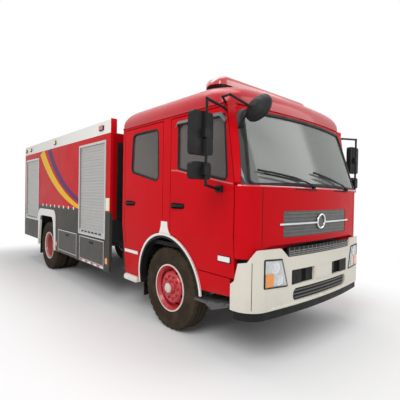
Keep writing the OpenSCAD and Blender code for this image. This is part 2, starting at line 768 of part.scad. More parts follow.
// A roller shutter's section in depth and height: shallow crowned slats.
function slat_edge(h) = [for (z = [0 : slat_pitch : h - slat_pitch / 2])
    each [[0, z], [-slat_rise, z + slat_edge_h], [-slat_rise, min(z + slat_pitch - slat_edge_h, h)]]];
module shutter(width, height) {
    along_x(0, width)
        polygon(concat([[shutter_t, 0]], slat_edge(height), [[0, height], [shutter_t, height]]));
}
module shutters() {
    color([0.66, 0.67, 0.66]) {
        for (side = [-1, 1], o = [front_shutter, rear_shutter]) on_side(side)
            translate([o[0], -body_half + shutter_inset, o[2]]) shutter(o[1] - o[0], o[3] - o[2]);
        translate([body_x1 + shutter_inset, rear_door[1].x, rear_door[0].y]) rotate([0, 0, -90])
            shutter(rear_door[1].x - rear_door[0].x, rear_door[1].y - rear_door[0].y);
    }
}
step_pin_r = 9;
step_pin_in = 14;
step_pin_reach = 36;
// A hinge pin's place along a step door's lower outer edge, longer than the door at both ends.
module step_pin(o, r, reach) {
    translate([o[0] - reach, -body_half + step_pin_in, o[2] + step_pin_in]) rotate([0, 90, 0])
        cylinder(r = r, h = o[1] - o[0] + 2 * reach, $fn = 32);
}
// A step door that folds down on a pin along its lower outer edge.
module step_door(o, side) {
    color([0.33, 0.33, 0.34]) on_side(side) {
        span([o[0], -body_half, o[2]], [o[1], -body_half + step_door_t, o[3]]);
        step_pin(o, step_pin_r, step_pin_reach);
    }
}
// Lamps on the side rails: columns are x and width.
side_lamps = [[body_x0 - 315, 150], [body_x0 - 2530, 110], [body_x1 + 540, 110], [body_x1 + 130, 110]];
side_lamp_z = rail_low + rail_rise / 2;
side_lamp_h = 70;
lamp_out = 18;
tail_lamp_in = 225;
tail_lamp_w = 160;
tail_lamp_low = rail_top - 30;
tail_lamp_h = 300;
tail_lamp_out = 50;
module lamps() {
    headlamps();
    color([0.5, 0.1, 0.1]) for (side = [-1, 1]) on_side(side) {
        for (l = side_lamps)
            translate([l[0] - l[1] / 2, -body_half - lamp_out, side_lamp_z - side_lamp_h / 2])
                cube([l[1], lamp_out, side_lamp_h]);
        translate([body_x1 - tail_lamp_out, -body_half + tail_lamp_in - tail_lamp_w, tail_lamp_low])
            cube([tail_lamp_out, tail_lamp_w, tail_lamp_h]);
    }
}
ladder_y = [-body_half + 225, -body_half + 525];
ladder_low = 1320;
ladder_r = 18;
rung_r = 14;
rung_pitch = 300;
module rear_ladder() {
    x = body_x1 - 70;
    hook_x = body_x1 + 120;
    hook_z = rail_low + 120;
    color([0.75, 0.76, 0.76]) {
        for (y = ladder_y)
            bent_bar([[body_x1, y, ladder_low], [x, y, ladder_low], [x, y, hook_z], [hook_x, y, hook_z],
                [hook_x, y, rail_low]], ladder_r);
        for (z = [ladder_low + 120 : rung_pitch : rail_low])
            bar([x, ladder_y[0], z], [x, ladder_y[1], z], rung_r);
    }
}
rear_bar_half = body_half - 95;
rear_bar_low = 560;
rear_bar_h = 120;
rear_bar_t = 60;
module rear_bumper() {
    color([0.2, 0.2, 0.2]) {
        span([tail_x, -rear_bar_half, rear_bar_low],
            [tail_x + rear_bar_t, rear_bar_half, rear_bar_low + rear_bar_h]);
        for (s = [-1, 1]) translate([0, s * (rail_y - 40), 0])
            span([tail_x + rear_bar_t - e, -35, rear_bar_low + 40], [rail_back_x, 35, rail_low_z + 80]);
    }
}

// Cab

// Section of the cab's right side wall in Y and Z.
module side_section() {
    polygon([[-cab_half + cab_tuck, skirt_z], [-cab_half, crease_z], [-cab_half, gutter_z],
        [-cab_in, gutter_z], [-cab_in, crease_z], [-cab_in + cab_tuck, skirt_z]]);
}
// Inside of the side wall at height z.
function inside_y(z) = cab_in - cab_tuck * max(0, crease_z - z) / (crease_z - skirt_z);
arch_x = 25;
arch_z = 570;
door_top = gutter_z - 45;
pillar_z = belt_z + 20;
pillar_lean = 120;
front_door_back = 150;
rear_door_front = -20;
rear_door_back = cab_back_x + 70;
// Door outlines in X and Z, grown all round by g.
function front_door_outline(g) = [[front_door_back - g, sill_front - g], [corner_front + g, sill_front - g],
    [corner_front + g, pillar_z], [corner_front - pillar_lean + g, door_top + g],
    [front_door_back - g, door_top + g]];
function rear_door_outline(g) = [[rear_door_back - g, sill_rear - g], [rear_door_front + g, sill_rear - g],
    [rear_door_front + g, door_top + g], [rear_door_back - g, door_top + g]];
// The edge between the door frame and the windscreen frame, up to the gutter.
pillar_edge = [[corner_front + door_gap, pillar_z], [corner_front - pillar_lean + door_gap, door_top],
    [corner_front - pillar_lean + door_gap, gutter_z]];
front_window = rounded([[front_door_back + 140, belt_z + 195], [corner_front - 95, belt_z + 45],
    [corner_front - 145, door_top - 75], [front_door_back + 140, door_top - 60]], 45);
rear_window = rounded([[rear_door_back + 180, belt_z + 200], [rear_door_front - 85, belt_z + 55],
    [rear_door_front - 110, door_top - 75], [rear_door_back + 220, door_top - 75]], 70);
module arch_cut(r, low) {
    translate([arch_x, arch_z]) circle(r = r);
    translate([arch_x - r, low]) square([2 * r, arch_z - low]);
}
lip_low_front = 610;
// Side frame: sill, pillars, skirts and the lip round the wheel arch.
module cab_side() {
    edge = corner_front + door_gap;
    difference() {
        union() {
            along_x(cab_back_x, edge) side_section();
            intersection() {
                along_x(cab_back_x, corner_front) translate([-lip_out, 0]) side_section();
                along_y(-far, 0) difference() {
                    arch_cut(arch_r + lip_w, skirt_z);
                    translate([arch_x, 0]) square([far, lip_low_front]);
                }
            }
        }
        along_y(-far, 0) {
            arch_cut(arch_r, skirt_z - e);
            for (outline = [front_door_outline(door_gap), rear_door_outline(door_gap)]) difference() {
                polygon(outline);
                arch_cut(arch_r + lip_w, 0);
            }
            polygon(concat(pillar_edge,
                [[pillar_edge[2].x, gutter_z + e], [far, gutter_z + e], [far, pillar_z]]));
            // lower edge ahead of the wheel and the step up over the bumper's wing
            polygon([[arch_x, 0], [arch_x, lip_low_front], [edge + 100, lip_low_front + 90],
                [edge + 100, 0]]);
            polygon([[wing_back - 30, 0], [wing_back - 30, sill_front], [wing_back + 10, sill_front + 45],
                [corner_front, sill_front + 130], [edge + 10, corner_low - 5], [edge + 100, corner_low - 5],
                [edge + 100, 0]]);
        }
    }
}
// Floor between the sides, and the back wall that stands on it.
module cab_floor() {
    low = inside_y(floor_z);
    high = inside_y(floor_top);
    color([0.25, 0.25, 0.26]) along_x(cab_back_x, corner_front - 40)
        polygon([[-low, floor_z], [-high, floor_top], [high, floor_top], [low, floor_z]]);
    color([0.75, 0.08, 0.1]) along_x(cab_back_x, cab_back_x + cab_wall)
        polygon([[-high, floor_top], [-cab_in, crease_z], [-cab_in, gutter_z], [cab_in, gutter_z],
            [cab_in, crease_z], [high, floor_top]]);
}
grille_half = 685;
grille_low = panel_z + 68;
grille_h = 278;
grille_outline = rounded([[-grille_half, grille_low], [-grille_half, grille_low + grille_h],
    [grille_half, grille_low + grille_h], [grille_half, grille_low]], 24);
screen_low = 30;
screen_top = 838;
screen_outline = rounded([[-cab_half + 82, screen_low], [-cab_half + 190, screen_top],
    [cab_half - 190, screen_top], [cab_half - 82, screen_low]], 70, 6);
// Moves drawings made upright from belt height so that they lean back as the windscreen does.
module leaned() {
    translate([cab_front_x, 0, belt_z]) rotate([0, -screen_lean, 0])
        translate([-cab_front_x, 0, 0]) children();
}
screen_t = 8;
frame_inset = 12;
screen_inset = frame_inset + 10;
lean_reach = 1000;
module screen_cut() { leaned() along_x(cut_back - 100, cut_front + 100) polygon(screen_outline); }
// The outside of the leaning windscreen frame as a full block.
module frame_block() {
    leaned() translate([0, 0, -150]) linear_extrude(lean_reach + 150)
        plan(cab_front_x - frame_inset, bow_r - frame_inset, cab_half - frame_inset,
            cab_corner_r - frame_inset, cut_back - 300);
}
// Outer section of the cab in Y and Z.
module cab_section() {
    polygon([[-cab_half + cab_tuck, skirt_z], [-cab_half, crease_z], [-cab_half, gutter_z],
        [cab_half, gutter_z], [cab_half, crease_z], [cab_half - cab_tuck, skirt_z]]);
}
// Front panel with its round corners, and the leaning frame of the windscreen.
module cab_front() {
    edge = corner_front + door_gap;
    inner = frame_inset + cab_wall;
    color([0.8, 0.07, 0.1]) difference() {
        union() {
            intersection() {
                translate([0, 0, corner_low]) linear_extrude(belt_z - corner_low)
                    plan_wall(cab_front_x, bow_r, cab_half, cab_corner_r, corner_front - 100, cab_wall);
                along_y(-far, far) polygon([[edge, corner_low], [panel_knee, corner_low],
                    [panel_lip, panel_z], [cut_front, panel_z], [cut_front, belt_z], [edge, belt_z]]);
                along_x(cut_back, cut_front) cab_section();
            }
            difference() {
                intersection() {
                    frame_block();
                    along_y(-far, far) polygon(concat([[edge, belt_z]], pillar_edge,
                        [[cut_front, gutter_z], [cut_front, belt_z]]));
                }
                leaned() translate([0, 0, -200]) linear_extrude(lean_reach + 300)
                    plan(cab_front_x - inner, bow_r - inner, cab_half - inner, cab_corner_r - inner,
                        cut_back - 310);
            }
        }
        along_x(cab_front_x - 150, cut_front) polygon(grille_outline);
        screen_cut();
    }
}
module windscreen() {
    color([0.5, 0.6, 0.6, 0.4]) intersection() {
        leaned() linear_extrude(lean_reach)
            plan_wall(cab_front_x - screen_inset, bow_r - screen_inset, cab_half - screen_inset,
                cab_corner_r - screen_inset, cut_back - 100, screen_t);
        screen_cut();
    }
}
grille_in = 8;
grille_t = 36;
module grille() {
    color([0.2, 0.2, 0.2]) intersection() {
        translate([0, 0, panel_z]) linear_extrude(belt_z - panel_z)
            plan_wall(cab_front_x - grille_in, bow_r - grille_in, cab_half - grille_in,
                cab_corner_r - grille_in, corner_front, grille_t);
        along_x(cab_front_x - 150, cut_front) polygon(grille_outline);
    }
}
// How far the roof draws in from the gutter to its crown: at the front, the sides and the back
brow = 270;
shoulder = 240;
nape = 180;
roof_steps = 6;
corner_steps = 8;
bow_steps = 10;
roof_front = cab_front_x - (gutter_z - belt_z) * tan(screen_lean);
// Points of a bowed front with round corners and a square back.
function roof_outline(front, half, r, back) =
    let (c = corner_middle(front, bow_r, half, r), bow_at = front - bow_r, touch = atan2(c.y, c.x - bow_at))
    concat([for (i = [0 : corner_steps]) let (a = 90 + (touch - 90) * i / corner_steps)
            c + r * [cos(a), sin(a)]],
        [for (i = [1 : bow_steps - 1]) let (a = touch - 2 * touch * i / bow_steps)
            [bow_at + bow_r * cos(a), bow_r * sin(a)]],
        [for (i = [0 : corner_steps]) let (a = -touch - (90 - touch) * i / corner_steps)
            [c.x, -c.y] + r * [cos(a), sin(a)]],
        [[back, -half], [back, half]]);
// One level of the roof, t inside its skin, at an angle up the curve of its edge.
module roof_level(angle, z, t) {
    in = 1 - cos(angle);
    r = cab_corner_r + (roof_corner_r - cab_corner_r) * in - t / 2;
    translate([0, 0, z]) linear_extrude(e) polygon(roof_outline(roof_front - brow * in - t,
        cab_half - shoulder * in - t, r, cab_back_x + nape * in + t));
}
// The roof's dome as a full block, t inside its skin, from height low.
module roof_form(t, low) {
    hull() {
        roof_level(0, low, t);
        for (i = [1 : roof_steps]) {
            angle = 90 * i / roof_steps;
            roof_level(angle, roof_z - crown_r + crown_r * sin(angle) - t - e, t);
        }
    }
}
module cab_roof() {
    color([0.8, 0.07, 0.1]) difference() {
        roof_form(0, gutter_z);
        roof_form(cab_wall, gutter_z - 2 * e);
    }
}
dash_back = 1000;
dash_top = belt_z - 110;
dash_front = cab_front_x - 215;
module dashboard() {
    half = cab_in - 70;
    color([0.2, 0.2, 0.21]) along_y(-half, half)
        polygon([[dash_back, dash_top - 220], [dash_back + 40, dash_top - 60], [dash_back + 140, dash_top],
            [dash_front, dash_top], [dash_front, floor_top + 200], [dash_back + 150, floor_top],
            [dash_back + 100, floor_top], [dash_back + 100, dash_top - 300]]);
}
seat_w = 550;
seat_out = cab_in - 290;
driver_y = seat_out - seat_w / 2;
wheel_r = 225;
wheel_at = [dash_back - 240, driver_y, dash_top - 10];
wheel_rake = 32;
module steering_wheel() {
    color([0.1, 0.1, 0.1]) {
        translate(wheel_at) rotate([0, wheel_rake, 0]) {
            rotate_extrude($fn = 48) translate([wheel_r, 0]) circle(r = 17, $fn = 24);
            for (a = [90, 210, 330]) rotate([0, 0, a]) bar([0, 0, -20], [wheel_r, 0, 0], 13);
            translate([0, 0, -50]) cylinder(r = 60, h = 55);
        }
        difference() {
            bar(wheel_at + [30, 0, -40], wheel_at + [320, 0, -190], 30);
            dashboard();
        }
    }
}
bench_half = cab_in - 150;
// Seats: columns are back x, low y, high y, cushion depth and back height.
seat_rows = [[330, -seat_out, -seat_out + seat_w, 480, 700], [330, seat_out - seat_w, seat_out, 480, 700],
    [cab_back_x + 190, -bench_half, bench_half, 460, 640]];
cushion_t = 130;
cushion_z = floor_top + 370;
base_in = 60;
back_t = 120;
back_lean = 70;
module seats() {
    low = cushion_z - cushion_t;
    color([0.25, 0.25, 0.27]) for (s = seat_rows) {
        x = s[0];
        span([x + 40, s[1] + base_in, floor_top], [x + s[3] - base_in, s[2] - base_in, low + e]);
        span([x, s[1], low], [x + s[3], s[2], cushion_z]);
        along_y(s[1], s[2]) polygon([[x, low], [x + back_t, low], [x + back_t - 100, cushion_z + s[4]],
            [x - back_lean, cushion_z + s[4]]]);
    }
}
light_x = 550;
light_d = 300;
light_end = 160;
light_foot_y = 480;
// Light bar with sloped ends on two feet.
module light_bar() {
    low = roof_z + light_foot;
    high = low + light_h;
    back = light_x - light_d / 2;
    front = light_x + light_d / 2;
    color([0.75, 0.1, 0.12]) {
        intersection() {
            along_y(-light_half, light_half)
                polygon(rounded([[back, low], [back + 40, high], [front - 60, high], [front, low]], 30));
            along_x(back - e, front + e) polygon(rounded([[-light_half, low], [-light_half + light_end, high],
                [light_half - light_end, high], [light_half, low]], 20));
        }
        for (s = [-1, 1]) translate([light_x, s * light_foot_y, roof_z])
            span([-60, -50, 0], [60, 50, light_foot + 5]);
    }
}
round_mirror_at = [cab_front_x - 105, -cab_half + 163, gutter_z - 87];
round_mirror_r = 150;
round_mirror_tilt = 68;
round_arm_r = 12;
// Round mirror that looks down over the front right corner, on arms from the pillar and the cantrail.
module front_mirror() {
    hub = round_mirror_at + [-50, -60, 10];
    color([0.08, 0.08, 0.08]) {
        difference() {
            union() {
                bent_bar([[corner_front - 75, -cab_half + 110, gutter_z - 290], hub, round_mirror_at],
                    round_arm_r);
                bent_bar([[corner_front - 150, -cab_half + 20, gutter_z - 18],
                    [corner_front - 90, -cab_half - 90, gutter_z + 18],
                    [corner_front + 10, -cab_half - 90, gutter_z + 18], hub], round_arm_r);
            }
            frame_block();
            span([cab_back_x, -cab_half, belt_z], [corner_front - 110, 0, roof_z]);
        }
        translate(round_mirror_at) rotate([round_mirror_tilt, 0, 0]) rotate_extrude($fn = 48)
            polygon([[0, -30], [round_mirror_r - 40, -30], [round_mirror_r, -10], [round_mirror_r, 8],
                [round_mirror_r - 40, 40], [round_mirror_r - 90, 58], [0, 66]]);
    }
}
// Doors

// A door's leaf: the side wall inside an outline, less its window and the wheel arch.
module door_leaf(outline, window) {
    difference() {
        intersection() {
            along_x(cab_back_x, corner_front) side_section();
            along_y(-far, 0) polygon(outline);
        }
        along_y(-far, 0) {
            polygon(window);
            arch_cut(arch_r + lip_w + door_gap, 0);
        }
    }
}
glass_t = 6;
glass_inset = 14;
module door_glass(outline) {
    along_y(-cab_half + glass_inset, -cab_half + glass_inset + glass_t) polygon(outline);
}
arm_x = corner_front - 40;
arm_out = 340;
arm_r = 14;
arm_top = gutter_z - 60;
arm_low = belt_z - 10;
foot_z = belt_z - 40;
// Mirror heads: columns are outward and inward reach from the arm, low z and high z.
mirror_heads = [[150, 110, belt_z + 265, belt_z + 665], [150, 90, belt_z + 40, belt_z + 200]];
head_t = 65;
clamp_half = 40;
// Door mirrors: one tall and one wide-angle head on a bent tube.
module door_mirror() {
    arm_y = -cab_half - arm_out;
    head_x = arm_x - 90;
    color([0.08, 0.08, 0.08]) {
        difference() {
            bent_bar([[arm_x - 90, -cab_half + 20, arm_top - 30], [arm_x - 70, -cab_half - 50, arm_top - 15],
                [arm_x, arm_y, arm_top], [arm_x, arm_y, arm_low], [arm_x - 150, -cab_half - 50, foot_z],
                [arm_x - 160, -cab_half + 20, foot_z]], arm_r);
            span([0, -cab_half, 0], [far, far, 2 * far]);
        }
        for (h = mirror_heads) {
            mid = (h[2] + h[3]) / 2;
            along_x(head_x, head_x + head_t) polygon(rounded([[arm_y - h[0], h[2]], [arm_y - h[0], h[3]],
                [arm_y + h[1], h[3]], [arm_y + h[1], h[2]]], 35));
            span([head_x + head_t - 5, arm_y - 30, mid - clamp_half],
                [arm_x + 16, arm_y + 30, mid + clamp_half]);
        }
        translate([arm_x - 200, -cab_half - 22, foot_z - 35]) cube([90, 22, 70]);
    }
}

red = [0.8, 0.07, 0.1];
module front_door() { color(red) door_leaf(front_door_outline(0), front_window); }
module rear_door() { color(red) door_leaf(rear_door_outline(0), rear_window); }

place() frame_rails();
place() cross_members();
place() engine_driveline();
place() front_axle();
place() rear_axle();
place() leaf_springs();
place() fuel_tank();
place() front_bumper();
place() bumper_trim();
place() cab_steps();
place() mudflaps();
place() body_floor();
place() body_end_walls();
place() color(red) on_side(-1) body_side();  // body_side_right
place() color(red) on_side(1) body_side();  // body_side_left
place() body_roof();
place() roof_side_rails();
place() monitor_turret();
place() monitor_barrel();
place() shutters();
place() lamps();
place() rear_ladder();
place() rear_bumper();
place() step_door(step_front, -1);  // step_door_front_right
place() step_door(step_mid, -1);  // step_door_mid_right
place() step_door(step_front, 1);  // step_door_front_left
place() step_door(step_mid, 1);  // step_door_mid_left
place() cab_floor();
place() color(red) on_side(-1) cab_side();  // cab_side_right
place() color(red) on_side(1) cab_side();  // cab_side_left
place() cab_front();
place() cab_roof();
place() windscreen();
place() grille();
place() dashboard();
place() steering_wheel();
place() seats();
place() light_bar();
place() front_mirror();
place() on_side(-1) front_door();  // door_front_right
place() on_side(1) front_door();  // door_front_left
place() on_side(-1) rear_door();  // door_rear_right
place() on_side(1) rear_door();  // door_rear_left
place() on_side(-1) door_glass(front_window);  // glass_front_right
place() on_side(1) door_glass(front_window);  // glass_front_left
place() on_side(-1) door_glass(rear_window);  // glass_rear_right
place() on_side(1) door_glass(rear_window);  // glass_rear_left
place() on_side(-1) door_mirror();  // mirror_right
place() on_side(1) door_mirror();  // mirror_left
place() knuckle(-1);  // knuckle_right
place() knuckle(1);  // knuckle_left
place() tie_rod();
place() tyre(0, -front_half_track);  // tyre_front_right
place() tyre(0, front_half_track);  // tyre_front_left
place() wheel_place(0, -front_half_track) front_rim();  // rim_front_right
place() wheel_place(0, front_half_track) front_rim();  // rim_front_left
place() tyres_rear(-1);  // tyres_rear_right
place() tyres_rear(1);  // tyres_rear_left
place() rims_rear(-1);  // rims_rear_right
place() rims_rear(1);  // rims_rear_left
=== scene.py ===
import math
import bpy
import bmesh
from mathutils import Matrix, Vector


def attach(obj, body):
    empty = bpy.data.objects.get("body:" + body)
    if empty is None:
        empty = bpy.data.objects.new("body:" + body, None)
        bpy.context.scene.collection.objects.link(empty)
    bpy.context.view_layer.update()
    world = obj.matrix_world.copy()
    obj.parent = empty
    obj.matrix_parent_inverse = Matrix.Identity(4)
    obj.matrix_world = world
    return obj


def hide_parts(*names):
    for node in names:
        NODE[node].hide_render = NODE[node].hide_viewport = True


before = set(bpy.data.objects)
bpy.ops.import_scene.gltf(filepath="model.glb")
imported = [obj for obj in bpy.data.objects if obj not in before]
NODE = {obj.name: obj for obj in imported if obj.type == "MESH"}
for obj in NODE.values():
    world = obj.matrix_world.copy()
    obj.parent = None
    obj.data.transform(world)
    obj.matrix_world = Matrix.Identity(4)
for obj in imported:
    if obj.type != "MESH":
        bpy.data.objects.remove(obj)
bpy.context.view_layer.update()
scene = bpy.context.scene

# sizes in metres, as in the part's source

AXLE_X = 2.4  # front axle ahead of the origin
WHEELBASE = 4.4
REAR_X = AXLE_X - WHEELBASE
AXLE_Z = 0.52
BOW = 7.2  # plan radius of the cab's and the bumper's front
CAB_FRONT, CAB_HALF, CAB_CORNER = 1.445, 1.2, 0.22
BUMPER_FRONT, BUMPER_HALF, BUMPER_CORNER = 1.5, 1.19, 0.24
BELT, LEAN = 1.81, math.radians(18)  # foot and lean of the windscreen
BODY_FRONT, BODY_REAR, BODY_HALF = AXLE_X - 1.35, AXLE_X - 6.2, 1.245
RUB_LINE = 1.413  # where the body's red meets the grey sheet below
SIDES = (("right", -1), ("left", 1))

# materials


class Mat:
    """A procedural material around one Principled shader, in the object's own coordinates."""

    def __init__(self, name, color, rough=0.5, metal=0.0, coat=0.0, shine=0.5, **sockets):
        self.material = bpy.data.materials.new(name)
        self.material.use_nodes = True
        self.tree = self.material.node_tree
        self.shader = self.tree.nodes["Principled BSDF"]
        self.color = (*color, 1)  # later the output of the last mix
        self.separate = None
        sockets.update({"Base Color": self.color, "Roughness": rough, "Metallic": metal})
        sockets.update({"Coat Weight": coat, "Coat Roughness": 0.04, "Specular IOR Level": shine})
        for socket, value in sockets.items():
            self.shader.inputs[socket.replace("_", " ")].default_value = value
        self.coords = self.node("ShaderNodeTexCoord").outputs["Object"]

    def node(self, kind, inputs=(), **props):
        """A new node, with each input set to a value or linked to an output."""
        made = self.tree.nodes.new(kind)
        for key, value in props.items():
            setattr(made, key, value)
        for key, value in dict(inputs).items():
            if hasattr(value, "is_output"):
                self.link(value, made.inputs[key])
            else:
                made.inputs[key].default_value = value
        return made

    def link(self, source, target):
        self.tree.links.new(source, target)

    def math(self, operation, first, second=0.0):
        return self.node("ShaderNodeMath", {0: first, 1: second}, operation=operation).outputs[0]

    def axis(self, index):
        if self.separate is None:
            self.separate = self.node("ShaderNodeSeparateXYZ", {0: self.coords})
        return self.separate.outputs[index]

    def noise(self, scale, detail=4.0, stretch=(1, 1, 1)):
        place = self.node("ShaderNodeMapping", {0: self.coords, "Scale": stretch}).outputs[0]
        values = {"Vector": place, "Scale": scale, "Detail": detail}
        return self.node("ShaderNodeTexNoise", values).outputs["Fac"]

    def ramp(self, value, low, high):
        values = {"Value": value, "From Min": low, "From Max": high}
        return self.node("ShaderNodeMapRange", values, interpolation_type="SMOOTHSTEP").outputs[0]

    def mix(self, factor, color):
        """Lays another colour over what is there, where the factor is 1."""
        values = {"Factor": factor, "A": self.color, "B": (*color, 1)}
        self.color = self.node("ShaderNodeMix", values, data_type="RGBA").outputs["Result"]
        self.link(self.color, self.shader.inputs["Base Color"])
        return self

    def vary(self, scale, amount, color, **noise):
        spots = self.ramp(self.noise(scale, **noise), 0.42, 0.72)
        return self.mix(self.math("MULTIPLY", spots, amount), color)

    def rough(self, scale, low, high, **noise):
        values = {"Value": self.noise(scale, **noise), "From Min": 0.3, "From Max": 0.7}
        values.update({"To Min": low, "To Max": high})
        self.link(self.node("ShaderNodeMapRange", values).outputs[0], self.shader.inputs["Roughness"])
        return self

    def bump(self, height, strength, distance):
        made = self.node("ShaderNodeBump", {"Height": height, "Strength": strength, "Distance": distance})
        self.link(made.outputs[0], self.shader.inputs["Normal"])
        return self

    def dirt(self, low, high, amount, color=(0.16, 0.13, 0.1)):
        """Road dust that fades out between two heights."""
        depth = self.ramp(self.axis(2), high, low)
        spots = self.ramp(self.noise(9.0, detail=6.0), 0.35, 0.75)
        return self.mix(self.math("MULTIPLY", self.math("MULTIPLY", depth, spots), amount), color)

    def radius(self, x, z):
        """Distance from an axle at X and Z."""
        squares = []
        for index, centre in ((0, x), (2, z)):
            apart = self.math("SUBTRACT", self.axis(index), centre)
            squares.append(self.math("MULTIPLY", apart, apart))
        return self.math("SQRT", self.math("ADD", *squares))


COAT, SPEC = 0.03, 0.05  # a soft shine that keeps the reds deep
RED, DEEP = (0.53, 0.003, 0.008), (0.44, 0.002, 0.006)
PANEL = (0.049, 0.045, 0.038)
UNDER_BLACK = (0.02, 0.02, 0.021)


def grey(level):
    return (level, level, level)


def paint(name, color, deep, low, high, dust):
    """Body paint with dust that fades out between two heights."""
    mat = Mat(name, color, rough=0.34, coat=COAT, shine=SPEC)
    mat.vary(1.3, 0.35, deep).dirt(low, high, dust)
    mat.rough(3.0, 0.28, 0.4)
    return mat.bump(mat.noise(260.0, detail=2.0), 0.03, 0.0004)


def red_sheet(name, rough=0.34):
    """Red paint to be laid over with other colours."""
    return Mat(name, RED, rough=rough, coat=COAT, shine=SPEC).vary(1.1, 0.35, DEEP)


def lens(name, color, rough, scale, amount, other, **sockets):
    return Mat(name, color, rough=rough, coat=1.0, **sockets).vary(scale, amount, other)


def film(name, color, other):
    """Stripes of coloured film."""
    return Mat(name, color, rough=0.35, shine=SPEC).vary(3.0, 0.3, other)


def plain(name, color, rough, other, scale=6.0, amount=0.5, grain=0.0, grain_scale=900.0, **sockets):
    """A surface that varies softly between two colours, with a fine grain where asked."""
    mat = Mat(name, color, rough=rough, **sockets).vary(scale, amount, other)
    mat.rough(scale * 1.7, max(0.02, rough - 0.08), min(1.0, rough + 0.1))
    if grain:
        mat.bump(mat.noise(grain_scale, detail=2.0), grain, 0.0006)
    return mat


def rim_paint(name, x, ring, dust):
    """Red rims with a pale outer ring and dust."""
    mat = Mat(name, (0.50, 0.02, 0.03), rough=0.36, coat=0.4).vary(9.0, 0.5, (0.36, 0.012, 0.02))
    mat.mix(mat.math("GREATER_THAN", mat.radius(x, AXLE_Z), ring), (0.66, 0.58, 0.52))
    spots = mat.ramp(mat.noise(16.0, detail=6.0), 0.5, 0.8)
    mat.mix(mat.math("MULTIPLY", spots, 0.45), (0.20, 0.15, 0.11))
    mat.mix(dust, (0.30, 0.22, 0.18))
    return mat.rough(12.0, 0.3, 0.55)


def rubber(name, x):
    """Dusty tyre rubber with fine rings on its sides."""
    mat = Mat(name, (0.032, 0.023, 0.015), rough=0.88, shine=0.12)
    mat.vary(7.0, 0.7, (0.060, 0.043, 0.029), detail=7.0)
    r = mat.radius(x, AXLE_Z)
    rings = mat.math("SINE", mat.math("MULTIPLY", r, 420.0))
    mat.bump(mat.math("MULTIPLY", rings, mat.ramp(r, 0.505, 0.49)), 0.25, 0.002)
    return mat.mix(mat.math("MULTIPLY", mat.ramp(r, 0.40, 0.50), 0.35), (0.064, 0.046, 0.031))


red = paint("red_paint", RED, DEEP, 0.4, 0.9, 0.2)
white = paint("white_paint", (0.78, 0.77, 0.73), (0.70, 0.69, 0.65), 0.4, 0.9, 0.25)
cream = paint("cream_paint", (0.68, 0.648, 0.572), (0.58, 0.54, 0.455), 0.5, 0.8, 0.2)
# belt mouldings: glossy, and lighter than the body red, a painted highlight along the crease
gloss_red_painted_highlight = Mat("belt_red_painted_highlight", (0.58, 0.02, 0.03), rough=0.2, coat=1.0).vary(2.0, 0.3, RED)
# roof: a darker copy of the body red, painted shade on the top faces, with a little more shine
roof_red = Mat("roof_red_painted_shade", (0.43, 0.004, 0.012), rough=0.36, coat=0.25, shine=0.25)
roof_red.vary(1.1, 0.3, (0.37, 0.003, 0.009)).rough(2.0, 0.26, 0.36)
yellow = film("yellow_stripe", (0.80, 0.47, 0.02), (0.72, 0.38, 0.01))
purple = film("purple_stripe", (0.09, 0.022, 0.12), (0.07, 0.02, 0.12))

amber = lens("amber_lens", (0.75, 0.24, 0.01), 0.12, 40.0, 0.4, (0.85, 0.36, 0.03))
red_lens = lens("red_lens", (0.45, 0.01, 0.01), 0.1, 60.0, 0.5, (0.6, 0.03, 0.02))
yellow_lens = lens("yellow_lens", (0.78, 0.62, 0.12), 0.15, 60.0, 0.4, (0.8, 0.7, 0.3))
clear = lens("clear_lens", (0.75, 0.78, 0.79), 0.03, 30.0, 0.3, (0.85, 0.87, 0.88), Alpha=0.2, IOR=1.5)
glass = Mat("window_glass", (0.105, 0.092, 0.085), rough=0.03, Alpha=0.75, IOR=1.5)
glass.vary(1.6, 0.6, (0.065, 0.055, 0.050))
screen = Mat("screen_glass", (0.175, 0.188, 0.177), rough=0.12, Alpha=0.74, IOR=1.52)
screen.vary(0.7, 0.4, (0.15, 0.165, 0.155))
border_glass = plain("screen_border", (0.035, 0.036, 0.035), 0.1, (0.05, 0.05, 0.048))

black = plain("black_plastic", (0.010, 0.010, 0.011), 0.5, grey(0.017), grain=0.25, shine=0.16)
seal = plain("rubber_seal", grey(0.008), 0.55, grey(0.018), grain=0.2, shine=0.2)
dark = plain("dark_recess", grey(0.006), 0.8, grey(0.012), shine=0.05)
chassis_black = plain("chassis_paint", UNDER_BLACK, 0.5, (0.05, 0.042, 0.034), 4.0, 0.7, 0.2, 300.0)
cast = plain("cast_metal", (0.05, 0.05, 0.052), 0.6, (0.09, 0.075, 0.06), 7.0, 0.5, 0.5, 160.0, metal=0.4)
interior = plain("cab_plastic", (0.05, 0.05, 0.053), 0.6, grey(0.07), grain=0.3)
aluminium = plain("brushed_aluminium", (0.56, 0.56, 0.55), 0.34, (0.46, 0.46, 0.45), 14.0, metal=0.85)
chrome = plain("bright_metal", (0.72, 0.73, 0.74), 0.1, (0.6, 0.61, 0.62), metal=1.0)
mirror_face = plain("mirror_glass", (0.75, 0.77, 0.78), 0.04, (0.7, 0.72, 0.73), metal=1.0)
reflex = plain("reflective_white", (0.74, 0.75, 0.74), 0.3, (0.66, 0.67, 0.66), 90.0)
louvre_grey = plain("louvre_grey", (0.20, 0.20, 0.195), 0.4, (0.14, 0.14, 0.135), metal=0.4)
# lamp bowl: a pale grey standing in for bright chrome, a painted reflection
bowl_painted_reflection = plain("lamp_bowl_painted_reflection", (0.66, 0.665, 0.66), 0.3, (0.40, 0.41, 0.41), 18.0)
grey_trim = plain("grey_grille", (0.085, 0.085, 0.082), 0.45, grey(0.06), grain=0.3)
guard = plain("window_guard", (0.13, 0.135, 0.14), 0.25, (0.09, 0.095, 0.10))

# step tread with its holes painted dark, painted shade in the holes
tread = Mat("step_tread", grey(0.095), rough=0.6, metal=0.3).vary(8.0, 0.5, (0.06, 0.058, 0.055))
holes = tread.node("ShaderNodeTexVoronoi", {"Scale": 26.0, "Vector": tread.coords})
tread.mix(tread.ramp(holes.outputs["Distance"], 0.32, 0.24), grey(0.01))

